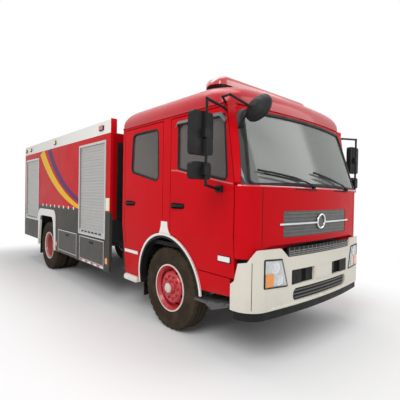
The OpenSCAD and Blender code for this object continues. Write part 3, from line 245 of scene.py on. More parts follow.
# woven seat cloth
cloth = Mat("seat_cloth", (0.055, 0.055, 0.062), rough=0.9, Sheen_Weight=0.3)
cloth.vary(5.0, 0.5, (0.08, 0.08, 0.09))
weave = cloth.node("ShaderNodeTexBrick", {"Scale": 180.0, "Vector": cloth.coords})
cloth.bump(weave.outputs["Fac"], 0.3, 0.001)

# shutter slats, brushed along X with a dusty lower part
shutter = Mat("shutter_slats", (0.42, 0.415, 0.40), rough=0.42, metal=0.45)
shutter.vary(3.0, 0.4, (0.36, 0.355, 0.343), stretch=(0.3, 1, 6)).dirt(1.0, 1.7, 0.25, (0.3, 0.27, 0.23))
shutter.rough(9.0, 0.34, 0.5, stretch=(0.2, 1, 14))

# grey lower panels: dark sheet with fine upright ribs and dust
panel = Mat("grey_panel", PANEL, rough=0.5, metal=0.25)
panel.vary(2.5, 0.6, (0.038, 0.034, 0.028)).dirt(0.45, 0.95, 0.3, (0.15, 0.13, 0.11))
panel.bump(panel.math("SINE", panel.math("MULTIPLY", panel.axis(0), 260.0)), 0.25, 0.002)

# body sides: red above the rub line, grey sheet below it
body_side = red_sheet("body_side_paint")
body_side.mix(body_side.math("LESS_THAN", body_side.axis(2), RUB_LINE), PANEL)
body_side.dirt(0.45, 1.0, 0.35).rough(3.0, 0.28, 0.4)

# end walls of the body: red, with painted shade: a deeper red behind the cab, and dark below
end_wall = red_sheet("end_wall_red_painted_shade")
# painted shade: the wall behind the cab is made a deeper red
end_wall.mix(end_wall.math("GREATER_THAN", end_wall.axis(0), 0.0), (0.33, 0.002, 0.005))
# painted shade: both walls are made dark low down
end_wall.mix(end_wall.math("LESS_THAN", end_wall.axis(2), 1.3), UNDER_BLACK).rough(3.0, 0.28, 0.4)

# cab floor and back wall: red above the floor, dark below it as painted shade
under = red_sheet("cab_floor_red_painted_shade", 0.36)
under.mix(under.math("LESS_THAN", under.axis(2), 1.14), grey(0.012)).rough(3.0, 0.3, 0.42)

# tread plate on the roof: small crossed lozenges
deck = Mat("tread_plate", (0.50, 0.505, 0.50), rough=0.4, metal=0.6).vary(3.0, 0.5, (0.38, 0.38, 0.37))
waves = []
for way in ("ADD", "SUBTRACT"):
    slant = deck.math(way, deck.axis(0), deck.axis(1))
    waves.append(deck.math("SINE", deck.math("MULTIPLY", slant, 110.0)))
deck.bump(deck.math("MULTIPLY", *waves), 0.6, 0.004)

rim_front = rim_paint("rim_paint_front", AXLE_X, 0.279, 0.0)
rim_rear = rim_paint("rim_paint_rear", REAR_X, 0.268, 0.3)
rubber_front = rubber("tyre_rubber_front", AXLE_X)
rubber_rear = rubber("tyre_rubber_rear", REAR_X)

# which nodes of the part wear which material

PAINTED = (
    (chassis_black, "frame_rails cross_members leaf_springs fuel_tank body_floor rear_bumper"),
    (cast, "engine_driveline front_axle rear_axle tie_rod knuckle_SIDE"),
    (red, "monitor_turret monitor_barrel cab_front cab_side_SIDE door_front_SIDE door_rear_SIDE"),
    (black, "bumper_trim lamps front_mirror mirror_SIDE"),
    (interior, "dashboard steering_wheel"),
    (glass, "glass_front_SIDE glass_rear_SIDE"),
    (panel, "step_door_front_SIDE step_door_mid_SIDE"),
    (cream, "front_bumper"), (tread, "cab_steps"), (seal, "mudflaps"), (end_wall, "body_end_walls"),
    (deck, "body_roof"), (white, "roof_side_rails"), (shutter, "shutters"), (aluminium, "rear_ladder"),
    (under, "cab_floor"), (roof_red, "cab_roof"), (screen, "windscreen"), (grey_trim, "grille"),
    (cloth, "seats"), (red_lens, "light_bar"), (body_side, "body_side_SIDE"),
    (rubber_front, "tyre_front_SIDE"), (rim_front, "rim_front_SIDE"),
    (rubber_rear, "tyres_rear_SIDE"), (rim_rear, "rims_rear_SIDE"),
)
for mat, patterns in PAINTED:
    for pattern in patterns.split():
        for name in {pattern.replace("SIDE", word) for word in dict(SIDES)}:
            NODE[name].data.materials.clear()
            NODE[name].data.materials.append(mat.material)

# mesh tools

GROUPS = {}


class Group:
    """Loose solids of one material on one body, joined into one piece."""

    def __init__(self, name, body, mat, slot=None):
        self.name, self.body, self.mat, self.slot = name, body, mat, slot
        self.solids = bmesh.new()
        GROUPS[name] = self

    def take(self, verts, faces, bevel=0.0, segments=2):
        loose = bmesh.new()
        points = [loose.verts.new(v) for v in verts]
        for face in faces:
            loose.faces.new([points[i] for i in face])
        bmesh.ops.recalc_face_normals(loose, faces=loose.faces)
        if bevel:
            edges = [e for e in loose.edges if len(e.link_faces) == 2 and e.calc_face_angle(0) > 0.6]
            bmesh.ops.bevel(loose, geom=edges, offset=bevel, segments=segments, affect="EDGES",
                            clamp_overlap=True)
        mesh = bpy.data.meshes.new("loose")
        loose.to_mesh(mesh)
        loose.free()
        self.solids.from_mesh(mesh)
        bpy.data.meshes.remove(mesh)
        return self

    def box(self, low, high, bevel=0.003, segments=2):
        (x0, y0, z0), (x1, y1, z1) = low, high
        verts = [(x, y, z) for z in (z0, z1) for x, y in ((x0, y0), (x1, y0), (x1, y1), (x0, y1))]
        faces = [(0, 1, 2, 3), (4, 5, 6, 7), (0, 1, 5, 4), (1, 2, 6, 5), (2, 3, 7, 6), (3, 0, 4, 7)]
        return self.take(verts, faces, bevel, segments)

    def slab(self, side, xs, ys, zs, bevel=0.003, segments=2):
        """A box on one side of the truck, with ys measured out from its middle."""
        y0, y1 = sorted(side * y for y in ys)
        return self.box((xs[0], y0, zs[0]), (xs[1], y1, zs[1]), bevel, segments)

    def loft(self, rings, closed=False):
        """Skins a row of rings of the same count, with caps unless the row closes on itself."""
        count, rows = len(rings[0]), len(rings)
        faces = []
        for i in range(rows if closed else rows - 1):
            near, far = i * count, (i + 1) % rows * count
            for j in range(count):
                k = (j + 1) % count
                faces.append((near + j, near + k, far + k, far + j))
        if not closed:
            faces += [range(count), range((rows - 1) * count, rows * count)]
        return self.take([p for ring in rings for p in ring], faces)

    def tube(self, path, radius, sides=12, closed=False, flat=1.0, up=(0, 0, 1)):
        """Sweeps a round or flattened section along a path."""
        path = [Vector(p) for p in path]
        last = len(path) - 1
        rings = []
        for i, p in enumerate(path):
            if closed:
                along = path[(i + 1) % len(path)] - path[i - 1]
            else:
                along = path[min(i + 1, last)] - path[max(i - 1, 0)]
            along.normalize()
            lift = Vector(up)
            if abs(along.dot(lift)) > 0.95:
                lift = Vector((1, 0, 0)) if abs(along.x) < 0.9 else Vector((0, 1, 0))
            across = along.cross(lift).normalized()
            lift = flat * across.cross(along)
            rings.append([p + radius * (math.cos(a) * across + math.sin(a) * lift) for a in turn(sides)])
        return self.loft(rings, closed)

    def lathe(self, profile, origin, axis, sides):
        """Turns a profile of (radius, height) pairs round an axis."""
        z = Vector(axis).normalized()
        x = z.cross(Vector((0, 0, 1)) if abs(z.z) < 0.9 else Vector((1, 0, 0))).normalized()
        y = z.cross(x)
        rings = []
        for r, height in profile:
            centre, r = Vector(origin) + height * z, max(r, 1e-4)
            rings.append([centre + r * (math.cos(a) * x + math.sin(a) * y) for a in turn(sides)])
        return self.loft(rings)

    def front_strip(self, front_x, ys, section):
        """A strip along a bowed front, with a section of (out, z) pairs."""
        return self.loft([[(front_x(y, out), y, z) for out, z in section] for y in ys])

    def done(self):
        mesh = bpy.data.meshes.new(self.name)
        self.solids.to_mesh(mesh)
        self.solids.free()
        for polygon in mesh.polygons:
            polygon.use_smooth = True
        mesh.set_sharp_from_angle(angle=math.radians(38))
        piece = bpy.data.objects.new(self.name, mesh)
        scene.collection.objects.link(piece)
        mesh.materials.append(self.mat.material)
        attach(piece, self.body)
        return piece


def group(name, body, mat, slot=None):
    return GROUPS.get(name) or Group(name, body, mat, slot)


def turn(count):
    """Angles of a full turn."""
    return [k * 2 * math.pi / count for k in range(count)]


def spread(low, high, steps):
    """Evenly spaced values with both ends."""
    return [low + (high - low) * k / steps for k in range(steps + 1)]


def ahead(*xs):
    """X of places measured ahead of the front axle."""
    return [AXLE_X + x for x in xs]


def rounded(pts, r, steps=5):
    """Rounds every corner of an outline."""
    out = []
    for i, corner in enumerate(pts):
        a, b, c = Vector(pts[i - 1]), Vector(corner), Vector(pts[(i + 1) % len(pts)])
        u, w = (a - b).normalized(), (c - b).normalized()
        half = u.angle(w) / 2
        centre = b + (u + w).normalized() * (r / math.sin(half))
        p, q = b + u * (r / math.tan(half)) - centre, b + w * (r / math.tan(half)) - centre
        start = math.atan2(p.y, p.x)
        sweep = (math.atan2(q.y, q.x) - start + 3 * math.pi) % (2 * math.pi) - math.pi
        out += [centre + r * Vector((math.cos(a), math.sin(a))) for a in spread(start, start + sweep, steps)]
    return [(p.x, p.y) for p in out]


def dense(pts, step=0.06):
    """Adds points along a closed outline."""
    out = []
    for i, p in enumerate(pts):
        q = pts[(i + 1) % len(pts)]
        count = max(1, int(math.dist(p, q) / step))
        out += [tuple(Vector(p).lerp(Vector(q), j / count)) for j in range(count)]
    return out


def bowed(y, front, half, corner, out):
    """X of a bowed front with round corners at a given Y, moved out from its face."""
    front, bow, half, corner = front + out, BOW + out, half + out, corner + out
    corner_x = front - bow + math.sqrt((bow - corner) ** 2 - (half - corner) ** 2)
    corner_y = half - corner
    touch = corner_y + corner * corner_y / (bow - corner)
    y = abs(y)
    if y <= touch:
        return front - bow + math.sqrt(bow * bow - y * y)
    return corner_x + math.sqrt(max(0.0, corner * corner - (min(y, half) - corner_y) ** 2))


def cab_x(y, out=0.0):
    return AXLE_X + bowed(y, CAB_FRONT, CAB_HALF, CAB_CORNER, out)


def bumper_x(y, out=0.0):
    return AXLE_X + bowed(y, BUMPER_FRONT, BUMPER_HALF, BUMPER_CORNER, out)


def bumper_face(outline, out):
    """An outline of (y, z) pairs laid on the bumper's face."""
    return [(bumper_x(y, out), y, z) for y, z in outline]


SCREEN_IN = 0.012  # the screen's face lies this far behind the cab's front


def lean(y, z, out=0.0):
    """A point on the leaning windscreen, z up along its slope and out from its face."""
    x = bowed(y, CAB_FRONT, CAB_HALF, CAB_CORNER, out - SCREEN_IN) - CAB_FRONT
    cos, sin = math.cos(LEAN), math.sin(LEAN)
    return Vector((AXLE_X + CAB_FRONT + x * cos - z * sin, y, BELT + x * sin + z * cos))


TUCK, TUCK_TOP, TUCK_DROP = 0.07, 1.28, 0.8  # how far the cab's skin tucks in, from where and over what drop


def skin_y(z):
    """Half width of the cab's skin, which tucks in towards the sill."""
    return CAB_HALF - TUCK * max(0.0, TUCK_TOP - z) / TUCK_DROP


# camera, floor, light

camera = bpy.data.objects.new("camera", bpy.data.cameras.new("camera"))
camera.data.lens, camera.data.sensor_width = 30.085, 36.0
right = Vector((0.66084, 0.75030, 0.01845))
up = Vector((-0.02363, -0.00377, 0.99971))
back = Vector((0.75016, -0.66109, 0.01523))
eye = Vector((3.4206 + AXLE_X, -3.6043, 1.7059))
camera.matrix_world = Matrix([(right[i], up[i], back[i], eye[i]) for i in range(3)] + [(0, 0, 0, 1)])
scene.collection.objects.link(camera)
scene.camera = camera
scene.view_settings.view_transform = "Standard"

SEEN_BY = ("Is Camera Ray", "Is Glossy Ray", "Is Transmission Ray")
TRUCK_REACH = (3.9, 1.25)  # half length and half width on the floor


def seen(tree):
    """1 for the rays that meet a white background."""
    path = tree.nodes.new("ShaderNodeLightPath")
    out = path.outputs[SEEN_BY[0]]
    for ray in SEEN_BY[1:]:
        either = tree.nodes.new("ShaderNodeMath")
        either.operation = "MAXIMUM"
        tree.links.new(out, either.inputs[0])
        tree.links.new(path.outputs[ray], either.inputs[1])
        out = either.outputs[0]
    return out


def pale(name, shade):
    """A pale stage surface that is seen white away from the truck and keeps the shadow near it."""
    mat = Mat(name, grey(shade), rough=0.9)
    squares = []
    for index, reach in enumerate(TRUCK_REACH):
        beyond = mat.math("SUBTRACT", mat.math("ABSOLUTE", mat.axis(index)), reach)
        beyond = mat.math("MAXIMUM", beyond, 0.0)
        squares.append(mat.math("MULTIPLY", beyond, beyond))
    apart = mat.math("SQRT", mat.math("ADD", *squares))
    glow = mat.node("ShaderNodeEmission").outputs[0]
    factor = mat.math("MULTIPLY", mat.ramp(apart, 0.4, 2.4), seen(mat.tree))
    both = mat.node("ShaderNodeMixShader", {0: factor, 1: mat.shader.outputs[0], 2: glow})
    mat.link(both.outputs[0], mat.tree.nodes["Material Output"].inputs["Surface"])
    return mat


FLOOR_HALF = 60
floor = bpy.data.objects.new("floor", bpy.data.meshes.new("floor"))
floor_corners = [(x * FLOOR_HALF, y * FLOOR_HALF, 0) for x, y in ((-1, -1), (1, -1), (1, 1), (-1, 1))]
floor.data.from_pydata(floor_corners, [], [(0, 1, 2, 3)])
floor.data.materials.append(pale("floor_pale", 0.80).material)
scene.collection.objects.link(floor)

world = bpy.data.worlds.new("studio")
scene.world = world
world.use_nodes = True
level = world.node_tree.nodes.new("ShaderNodeMapRange")
level.inputs["To Min"].default_value = 0.5
level.inputs["To Max"].default_value = 1.0
background = world.node_tree.nodes["Background"]
background.inputs["Color"].default_value = (1, 1, 1, 1)
world.node_tree.links.new(seen(world.node_tree), level.inputs["Value"])
world.node_tree.links.new(level.outputs[0], background.inputs["Strength"])


def lamp(name, at, aim, size, watts):
    light = bpy.data.lights.new(name, "AREA")
    light.shape, light.size, light.size_y, light.energy = "RECTANGLE", size[0], size[1], watts
    holder = bpy.data.objects.new(name, light)
    holder.location = at
    holder.rotation_euler = (Vector(aim) - Vector(at)).to_track_quat("-Z", "Y").to_euler()
    scene.collection.objects.link(holder)


lamp("key", (6.0, -8.0, 8.5), (1.5, 0, 1.4), (6, 6), 690)
lamp("top", (0, 0, 11.0), (0, 0, 0), (10, 6), 400)
lamp("fill", (9.0, 6.0, 6.0), (2, 0, 1.5), (6, 6), 280)

# windscreen

glass_edge = rounded([(-1.118, 0.03), (-1.01, 0.838), (1.01, 0.838), (1.118, 0.03)], 0.07, 6)
border_edge = rounded([(-1.168, 0.004), (-1.078, 0.858), (1.078, 0.858), (1.168, 0.004)], 0.09, 6)
line = [lean(y, z, 0.003) for y, z in dense(glass_edge)]
group("windscreen_seal", "cab", seal).tube(line, 0.021, 10, closed=True, flat=0.55, up=(1, 0, 0.3))

# the glass itself, drawn as one smooth curve
heights = spread(0.012, 0.854, 10)
rows = []
for across in spread(-1, 1, 40):
    line = [(across * (1.137 - 0.108 * z / 0.808), z) for z in heights]
    rows.append([lean(y, z, -0.005) for y, z in line] + [lean(y, z, -0.011) for y, z in reversed(line)])
group("screen_skin", "cab", screen).loft(rows)

# dark border of the glass, round the corners
rows = []
for i in range(len(glass_edge)):
    j = (i + 1) % len(glass_edge)
    steps = max(1, int(math.dist(glass_edge[i], glass_edge[j]) / 0.05))
    for k in range(steps):
        a, b = (Vector(edge[i]).lerp(Vector(edge[j]), k / steps) for edge in (glass_edge, border_edge))
        line = [a.lerp(b, part / 3) for part in range(4)]
        rows.append([lean(y, z, 0.004) for y, z in line] + [lean(y, z, -0.004) for y, z in reversed(line)])
group("windscreen_border", "cab", border_glass).loft(rows, closed=True)

# red faces between the door frames and the screen, and the line below the windows
BELT_LINE = [(0.165, 1.995), (0.29, 1.985), (0.74, 1.900), (1.178, 1.818)]
for name, side in SIDES:
    rows = []
    for y, z in zip(spread(1.168, 1.080, 12), spread(1.835, 2.650, 12)):
        edge = AXLE_X + 1.198 - 0.12 * (z - 1.83) / 0.775
        near = lean(side * y, (z - BELT) / math.cos(LEAN), 0.001)
        outside = [(edge, side * 1.198, z), (near.x, near.y, z)]
        rows.append(outside + [(near.x - 0.006, near.y, z), (edge + 0.001, side * 1.190, z)])
    group("pillar_face_" + name, "cab", red).loft(rows)
    # the belt line below the windows, in the lighter red of a painted highlight
    shape = group("door_belt_" + name, "front_%s_door" % name, gloss_red_painted_highlight)
    shape.tube([(AXLE_X + x, side * 1.199, z) for x, z in BELT_LINE], 0.011, 8, flat=0.6, up=(0, side, 0))

HEAD_SECTION = [(0.857, 0.002), (0.886, 0.002), (0.886, -0.005), (0.857, -0.005)]
shape = group("screen_head", "cab", red)
shape.loft([[lean(y, z, out) for z, out in HEAD_SECTION] for y in spread(-1.17, 1.17, 48)])
for name, side in SIDES:
    shape.slab(side, ahead(1.0, 1.077), (1.03, 1.17), (2.618, 2.655), 0)
# the belt below the screen, in the lighter red of a painted highlight
shape = group("front_belt", "cab", gloss_red_painted_highlight)
shape.tube([(cab_x(y, -0.003), y, 1.803) for y in spread(-1.185, 1.185, 40)], 0.011, 8)

# wipers: arm from a pivot on the cowl, blade along the lower glass, slots beside the pivot
shape = group("wipers", "cab", black)
for y0, reach in ((-0.20, -0.76), (0.62, -0.64)):
    pivot, tip = lean(y0, 0.0, 0.05), lean(y0 + reach, 0.135, 0.045)
    elbow = lean(y0 - 0.16, 0.05, 0.055)
    shape.lathe([(0.02, -0.03), (0.024, 0), (0.016, 0.012), (0, 0.014)], pivot, lean(y0, 0, 0.1) - pivot, 16)
    shape.tube([pivot, elbow, tip], 0.010, 8)
    blade = [lean(y0 - 0.16 + 0.86 * reach * t, 0.075 + 0.105 * t ** 0.8, 0.022) for t in spread(0, 1, 8)]
    shape.tube(blade, 0.011, 6)
    for k in range(7):
        y = y0 - 0.30 + 0.06 * k
        shape.box((cab_x(y, -0.004), y, 1.775), (cab_x(y, 0.004), y + 0.045, 1.795), 0.002)

# front grille: flat slats, a bright cross bar and a plain ring

shape = group("grille_slats", "cab", grey_trim)
for k in range(7):
    z = 1.300 + 0.039 * k
    section = [(-0.010, z - 0.012), (-0.001, z - 0.009), (-0.003, z + 0.007), (-0.012, z + 0.010)]
    shape.front_strip(cab_x, spread(-0.672, 0.672, 30), section)
shape = group("grille_bright", "cab", chrome)
for name, side in SIDES:
    section = [(-0.006, 1.405), (0.010, 1.409), (0.010, 1.427), (-0.006, 1.431)]
    shape.front_strip(cab_x, [side * y for y in spread(0.075, 0.745, 16)], section)
# the ring stays above the bumper's louvres when the cab is tilted
RING_R = 0.079
ring_at = Vector((AXLE_X + CAB_FRONT, 0, 1.430))
ring = [Vector((0.010 + 0.006 * math.sin(a), RING_R * math.cos(a), RING_R * math.sin(a))) for a in turn(48)]
shape.tube([ring_at + p for p in ring], 0.011, 12, closed=True)
shape = group("grille_disc", "cab", grey_trim)
shape.lathe([(0.0, -0.01), (0.070, -0.01), (0.070, 0.004), (0.0, 0.006)], ring_at, (1, 0, 0), 48)

# seams of the corner panels on the cab and the bumper
SEAM_HALF = 0.003
for label, body, front_x, y, zs in (("front_seams", "cab", cab_x, 0.985, (1.225, 1.78)),
                                    ("bumper_seams", "chassis", bumper_x, 1.115, (0.60, 1.06))):
    shape = group(label, body, dark)
    for name, side in SIDES:
        shape.slab(side, (front_x(y, -0.02), front_x(y, 0.0008)), (y - SEAM_HALF, y + SEAM_HALF), zs, 0)

# bumper

shape = group("bumper_lip", "chassis", cream)
lip_section = [(-0.002, 0.578), (0.010, 0.584), (0.010, 0.600), (-0.002, 0.606)]
shape.front_strip(bumper_x, spread(-0.9, 0.9, 40), lip_section)

# louvred tread on top of the bumper
LOUVRE_HALF = 0.64
shape = group("bumper_louvres", "chassis", louvre_grey)
for k in range(4):
    z, out = 1.100 + 0.021 * k, -0.004 - 0.002 * k
    section = [(out - 0.012, z - 0.006), (out, z - 0.006), (out, z + 0.005), (out - 0.012, z + 0.005)]
    shape.front_strip(bumper_x, spread(-LOUVRE_HALF, LOUVRE_HALF, 24), section)
for y in spread(-LOUVRE_HALF, LOUVRE_HALF, 16):
    shape.box((bumper_x(y, -0.016), y - 0.003, 1.09), (bumper_x(y, -0.006), y + 0.003, 1.178), 0)

# bars in the lower slot
shape = group("slot_bars", "chassis", grey_trim)
for k, half in enumerate((0.53, 0.55, 0.53)):
    z = 0.645 + 0.037 * k
    section = [(-0.034, z - 0.009), (-0.016, z - 0.007), (-0.016, z + 0.007), (-0.034, z + 0.009)]
    shape.front_strip(bumper_x, spread(-half, half, 24), section)

LAMP_EDGE = [(0.998, 0.812), (0.998, 1.080), (0.762, 1.068), (0.676, 0.798)]
TURN_EDGE = [(0.992, 0.818), (0.992, 0.945), (0.885, 0.945), (0.885, 0.818)]


def recess(name, side):
    """Square recess: outer half a ribbed panel, inner half a dark well."""
    shape = group("recess_" + name, "chassis", black)
    shape.slab(side, (bumper_x(0.60, -0.03), bumper_x(0.42, -0.012)), (0.60, 0.42), (0.797, 0.938), 0.004)
    for k in range(6):
        z = 0.808 + 0.023 * k
        shape.slab(side, (bumper_x(0.5, -0.014), bumper_x(0.5, -0.006)), (0.59, 0.43), (z, z + 0.010), 0.002)
    shape = group("recess_well_" + name, "chassis", dark)
    shape.slab(side, (bumper_x(0.3, -0.035), bumper_x(0.3, -0.031)), (0.41, 0.20), (0.795, 0.94), 0)


def headlamp(name, side):
    """Pale bowl, a painted reflection in place of chrome; clear cover, two reflectors, amber quarter and
    rubber rim.
    """
    edge = [(side * y, z) for y, z in LAMP_EDGE]
    pane = rounded(edge, 0.016)
    shape = group("lamp_bowl_painted_reflection_" + name, "chassis", bowl_painted_reflection)
    shape.loft([bumper_face(pane, -0.02), bumper_face(pane, 0.0008)])
    shape = group("lamp_cover_" + name, "chassis", clear, "lamp")
    shape.loft([bumper_face(pane, 0.005), bumper_face(pane, 0.008)])
    shape = group("lamp_eyes_" + name, "chassis", mirror_face)
    for y, z, r in ((0.86, 1.0, 0.058), (0.80, 0.87, 0.052)):
        bowl = [(r, 0.0), (r, 0.004), (r * 0.75, 0.001), (r * 0.3, -0.004), (0.0, 0.004)]
        shape.lathe(bowl, (bumper_x(y, 0.001), side * y, z), (0.96, side * 0.2, 0), 28)
    quarter = rounded([(side * y, z) for y, z in TURN_EDGE], 0.014)
    shape = group("turn_lens_" + name, "chassis", amber)
    shape.loft([bumper_face(quarter, 0.0), bumper_face(quarter, 0.0095)])
    shape = group("lamp_rim_" + name, "chassis", seal)
    shape.tube(bumper_face(dense(edge, 0.04), 0.0), 0.008, 8, closed=True, up=(1, 0, 0))


for name, side in SIDES:
    recess(name, side)
    headlamp(name, side)
shape = group("plate_blank", "chassis", cream)
shape.box((bumper_x(0.0, -0.006), -0.17, 0.80), (bumper_x(0.17, 0.012), 0.17, 0.925), 0.004)

# cab sides and doors

ARCH_X, ARCH_Z, ARCH_R = 0.025, 0.57, 0.6
LIP_SECTION = [(0.024, 0.0), (0.024, 0.014), (0.030, 0.018), (0.054, 0.016), (0.056, 0.0)]
RUBBER_SECTION = [(-0.004, -0.085), (-0.004, 0.013), (0.025, 0.0145), (0.025, 0.0), (0.0, -0.085)]
FRONT_WINDOW = rounded([(0.290, 2.005), (1.095, 1.855), (1.045, 2.530), (0.290, 2.545)], 0.045)
REAR_WINDOW = rounded([(-0.785, 2.010), (-0.105, 1.865), (-0.130, 2.530), (-0.745, 2.530)], 0.07)
GUARD_LINE = [(0.27, 2.52), (0.30, 2.56), (0.65, 2.555), (1.0, 2.545), (1.075, 2.47)]
GUARD_SECTION = [(1.199, 0.012), (1.225, -0.006), (1.232, -0.035), (1.228, -0.036), (1.199, 0.002)]
CUP_EDGE = [(0, 1.535), (0, 1.605), (0.25, 1.600), (0.25, 1.540)]
BAR_LINE = [(0.01, 1.202, 1.575), (0.03, 1.228, 1.575), (0.12, 1.234, 1.574),
            (0.21, 1.228, 1.573), (0.235, 1.202, 1.573)]


def arch_band(shape, side, section):
    """A band round the wheel arch that follows the tucked skin, from (radial, out) pairs."""
    rings = []
    for a in spread(math.radians(1), math.radians(188), 48):
        ring = []
        for grow, out in section:
            x, z = ARCH_X + (ARCH_R + grow) * math.cos(a), ARCH_Z + (ARCH_R + grow) * math.sin(a)
            ring.append((AXLE_X + x, side * (skin_y(z) + out), z))
        rings.append(ring)
    shape.loft(rings)


def handle(body, side, x):
    """A dark cup with a pull bar."""
    cup = rounded([(AXLE_X + x + along, z) for along, z in CUP_EDGE], 0.02)
    shape = group("handle_cup_" + body, body, dark)
    shape.loft([[(px, side * y, pz) for px, pz in cup] for y in (1.198, 1.2012)])
    shape = group("handle_bar_" + body, body, black)
    shape.tube([(AXLE_X + x + along, side * y, z) for along, y, z in BAR_LINE], 0.012, 10, flat=1.3)


for name, side in SIDES:
    front_door, rear_door = "front_%s_door" % name, "rear_%s_door" % name
    for window, body in ((FRONT_WINDOW, front_door), (REAR_WINDOW, rear_door)):
        edge = [(AXLE_X + x, side * CAB_HALF, z) for x, z in dense(window, 0.1)]
        group("window_seal_" + body, body, seal).tube(edge, 0.013, 8, closed=True, flat=0.5, up=(0, side, 0))
    shape = group("rain_guard_" + name, front_door, guard)
    shape.loft([[(AXLE_X + x, side * y, z + rise) for y, rise in GUARD_SECTION] for x, z in GUARD_LINE])
    handle(front_door, side, 0.17)
    handle(rear_door, side, -0.93)
    arch_band(group("arch_lip_" + name, "cab", white), side, LIP_SECTION)
    arch_band(group("arch_rubber_" + name, "cab", seal), side, RUBBER_SECTION)
    # side lamp low on the front door
    for label, mat, grow, out in (("side_lamp_rim_", seal, 0.008, 0.007), ("side_lamp_", reflex, 0.0, 0.012)):
        shape = group(label + name, front_door, mat)
        xs, zs = ahead(0.972 - grow, 1.140 + grow), (1.034 - grow, 1.088 + grow)
        shape.slab(side, xs, (1.174, 1.181 + out), zs, 0.004)

# body

STRIPE_STEPS, STRIPE_T = 28, 0.0016
STRIPE_LOW, STRIPE_HIGH = 1.42, 2.635
YELLOW_CURVE = [(-4.815, 2.66), (-4.3, 2.1), (-3.5, 1.62), (-2.56, 1.44)]
PURPLE_CURVE = [(-4.30, 2.66), (-3.9, 2.15), (-3.3, 1.75), (-2.56, 1.56)]
SHUTTERS = ((-2.545, -1.525, 1.005, 2.515), (-6.05, -5.025, 1.065, 2.475))  # x0, x1, z0, z1
STEPS = (("front", -2.525, -1.540, 0.942), ("mid", -3.640, -2.660, 0.953))  # x0, x1, top
STEP_FOOT, STEP_RIM = 0.492, 0.016
RAIL_LAMPS = ((-1.665, 0.15, red_lens), (-3.88, 0.11, yellow_lens),
              (-5.66, 0.11, yellow_lens), (-6.07, 0.11, amber))  # x, width, lens
LOW_LAMPS = (("low_marker_", (-1.480, -1.400), 0.690), ("arch_marker_", (-3.765, -3.705), 0.685))  # xs, top
FILM_T = 0.002
TAG_Z = (1.43, 1.63)


def proud(inner, outer):
    """Distances out from the middle for what lies on the body's side."""
    return (BODY_HALF + inner, BODY_HALF + outer)


def stripe(name, side, mat, curve, first, last):
    """A band of film along a cubic curve, from one width to another."""
    middle = []
    for t in spread(0, 1, STRIPE_STEPS):
        u = 1 - t
        weights = (u ** 3, 3 * u * u * t, 3 * u * t * t, t ** 3)
        middle.append(Vector([sum(w * p[i] for w, p in zip(weights, curve)) for i in (0, 1)]))
    rows = []
    for k, p in enumerate(middle):
        along = (middle[min(k + 1, STRIPE_STEPS)] - middle[max(k - 1, 0)]).normalized()
        half = (first + (last - first) * k / STRIPE_STEPS) / 2
        pair = []
        for way in (-1, 1):
            z = min(STRIPE_HIGH, max(STRIPE_LOW, p.y - way * along.x * half))
            pair.append((AXLE_X + p.x + way * along.y * half, z))
        inner, outer = (side * y for y in proud(0, STRIPE_T))
        rows.append([(x, inner, z) for x, z in pair] + [(x, outer, z) for x, z in reversed(pair)])
    group(name, "chassis", mat).loft(rows)


def uprights_and_head(x0, x1, z0, z1, rim):
    """Three bars of a frame, as pairs of xs and zs."""
    return [((x0, x0 + rim), (z0, z1)), ((x1 - rim, x1), (z0, z1)), ((x0 + rim, x1 - rim), (z1 - rim, z1))]


def shutter_trim(name, side):
    """Frames, bottom bars and dark grips of the shutters on one side."""
    lap, rim = 0.012, 0.03
    shape = group("shutter_frames_" + name, "chassis", aluminium)
    for x0, x1, z0, z1 in SHUTTERS:
        bars = uprights_and_head(x0 - rim, x1 + rim, z0 - rim, z1 + rim, rim + lap)
        for xs, zs in bars + [((x0 + lap, x1 - lap), (z0 - rim, z0 + 0.006))]:
            shape.slab(side, ahead(*xs), proud(-0.004, 0.010), zs, 0.003)
        shape.slab(side, ahead(x0 + 0.014, x1 - 0.014), proud(-0.02, 0.006), (z0 + 0.008, z0 + 0.055), 0.004)
    shape = group("shutter_bars_" + name, "chassis", black)
    grips, margin = 6, 0.09
    for x0, x1, z0, z1 in SHUTTERS:
        for k in range(grips):
            x = x0 + margin + (x1 - x0 - 2 * margin) * (k + 0.5) / grips
            shape.slab(side, ahead(x - 0.05, x + 0.05), proud(0.004, 0.009), (z0 + 0.018, z0 + 0.045), 0.002)


def reflectors(name, side):
    """Reflective squares along the rub line, and the tag at the front edge."""
    shape = group("reflex_squares_" + name, "chassis", reflex)
    for x in spread(-4.68, -2.83, 7):
        shape.slab(side, ahead(x - 0.028, x + 0.028), proud(0, FILM_T), (1.385, 1.441), 0.001)
    shape.slab(side, ahead(-1.515, -1.385), proud(0, FILM_T), TAG_Z, 0.001)
    shape = group("tag_edge_" + name, "chassis", yellow)
    shape.slab(side, ahead(-1.384, -1.356), proud(0, FILM_T), TAG_Z, 0.001)


def arch_edge(foot, low, top, z, r):
    """Open outline of the rear arch with its two upper corners rounded, seen from the axle."""
    corners = rounded([(-low, 0.39), (-top, z), (top, z), (low, 0.39)], r, 8)
    return [(-foot, 0.49)] + corners[9:27] + [(foot, 0.49)]


def rear_arch(name, side):
    """White lip round the rear wheels."""
    inner, outer = arch_edge(0.547, 0.565, 0.44, 1.18, 0.13), arch_edge(0.60, 0.62, 0.575, 1.33, 0.16)
    rings = []
    for (x0, z0), (x1, z1) in zip(inner, outer):
        near = [(REAR_X + x0, side * y, z0) for y in proud(-0.03, 0.014)]
        rings.append(near + [(REAR_X + x1, side * y, z1) for y in proud(0.012, -0.001)])
    group("rear_arch_" + name, "chassis", white).loft(rings)


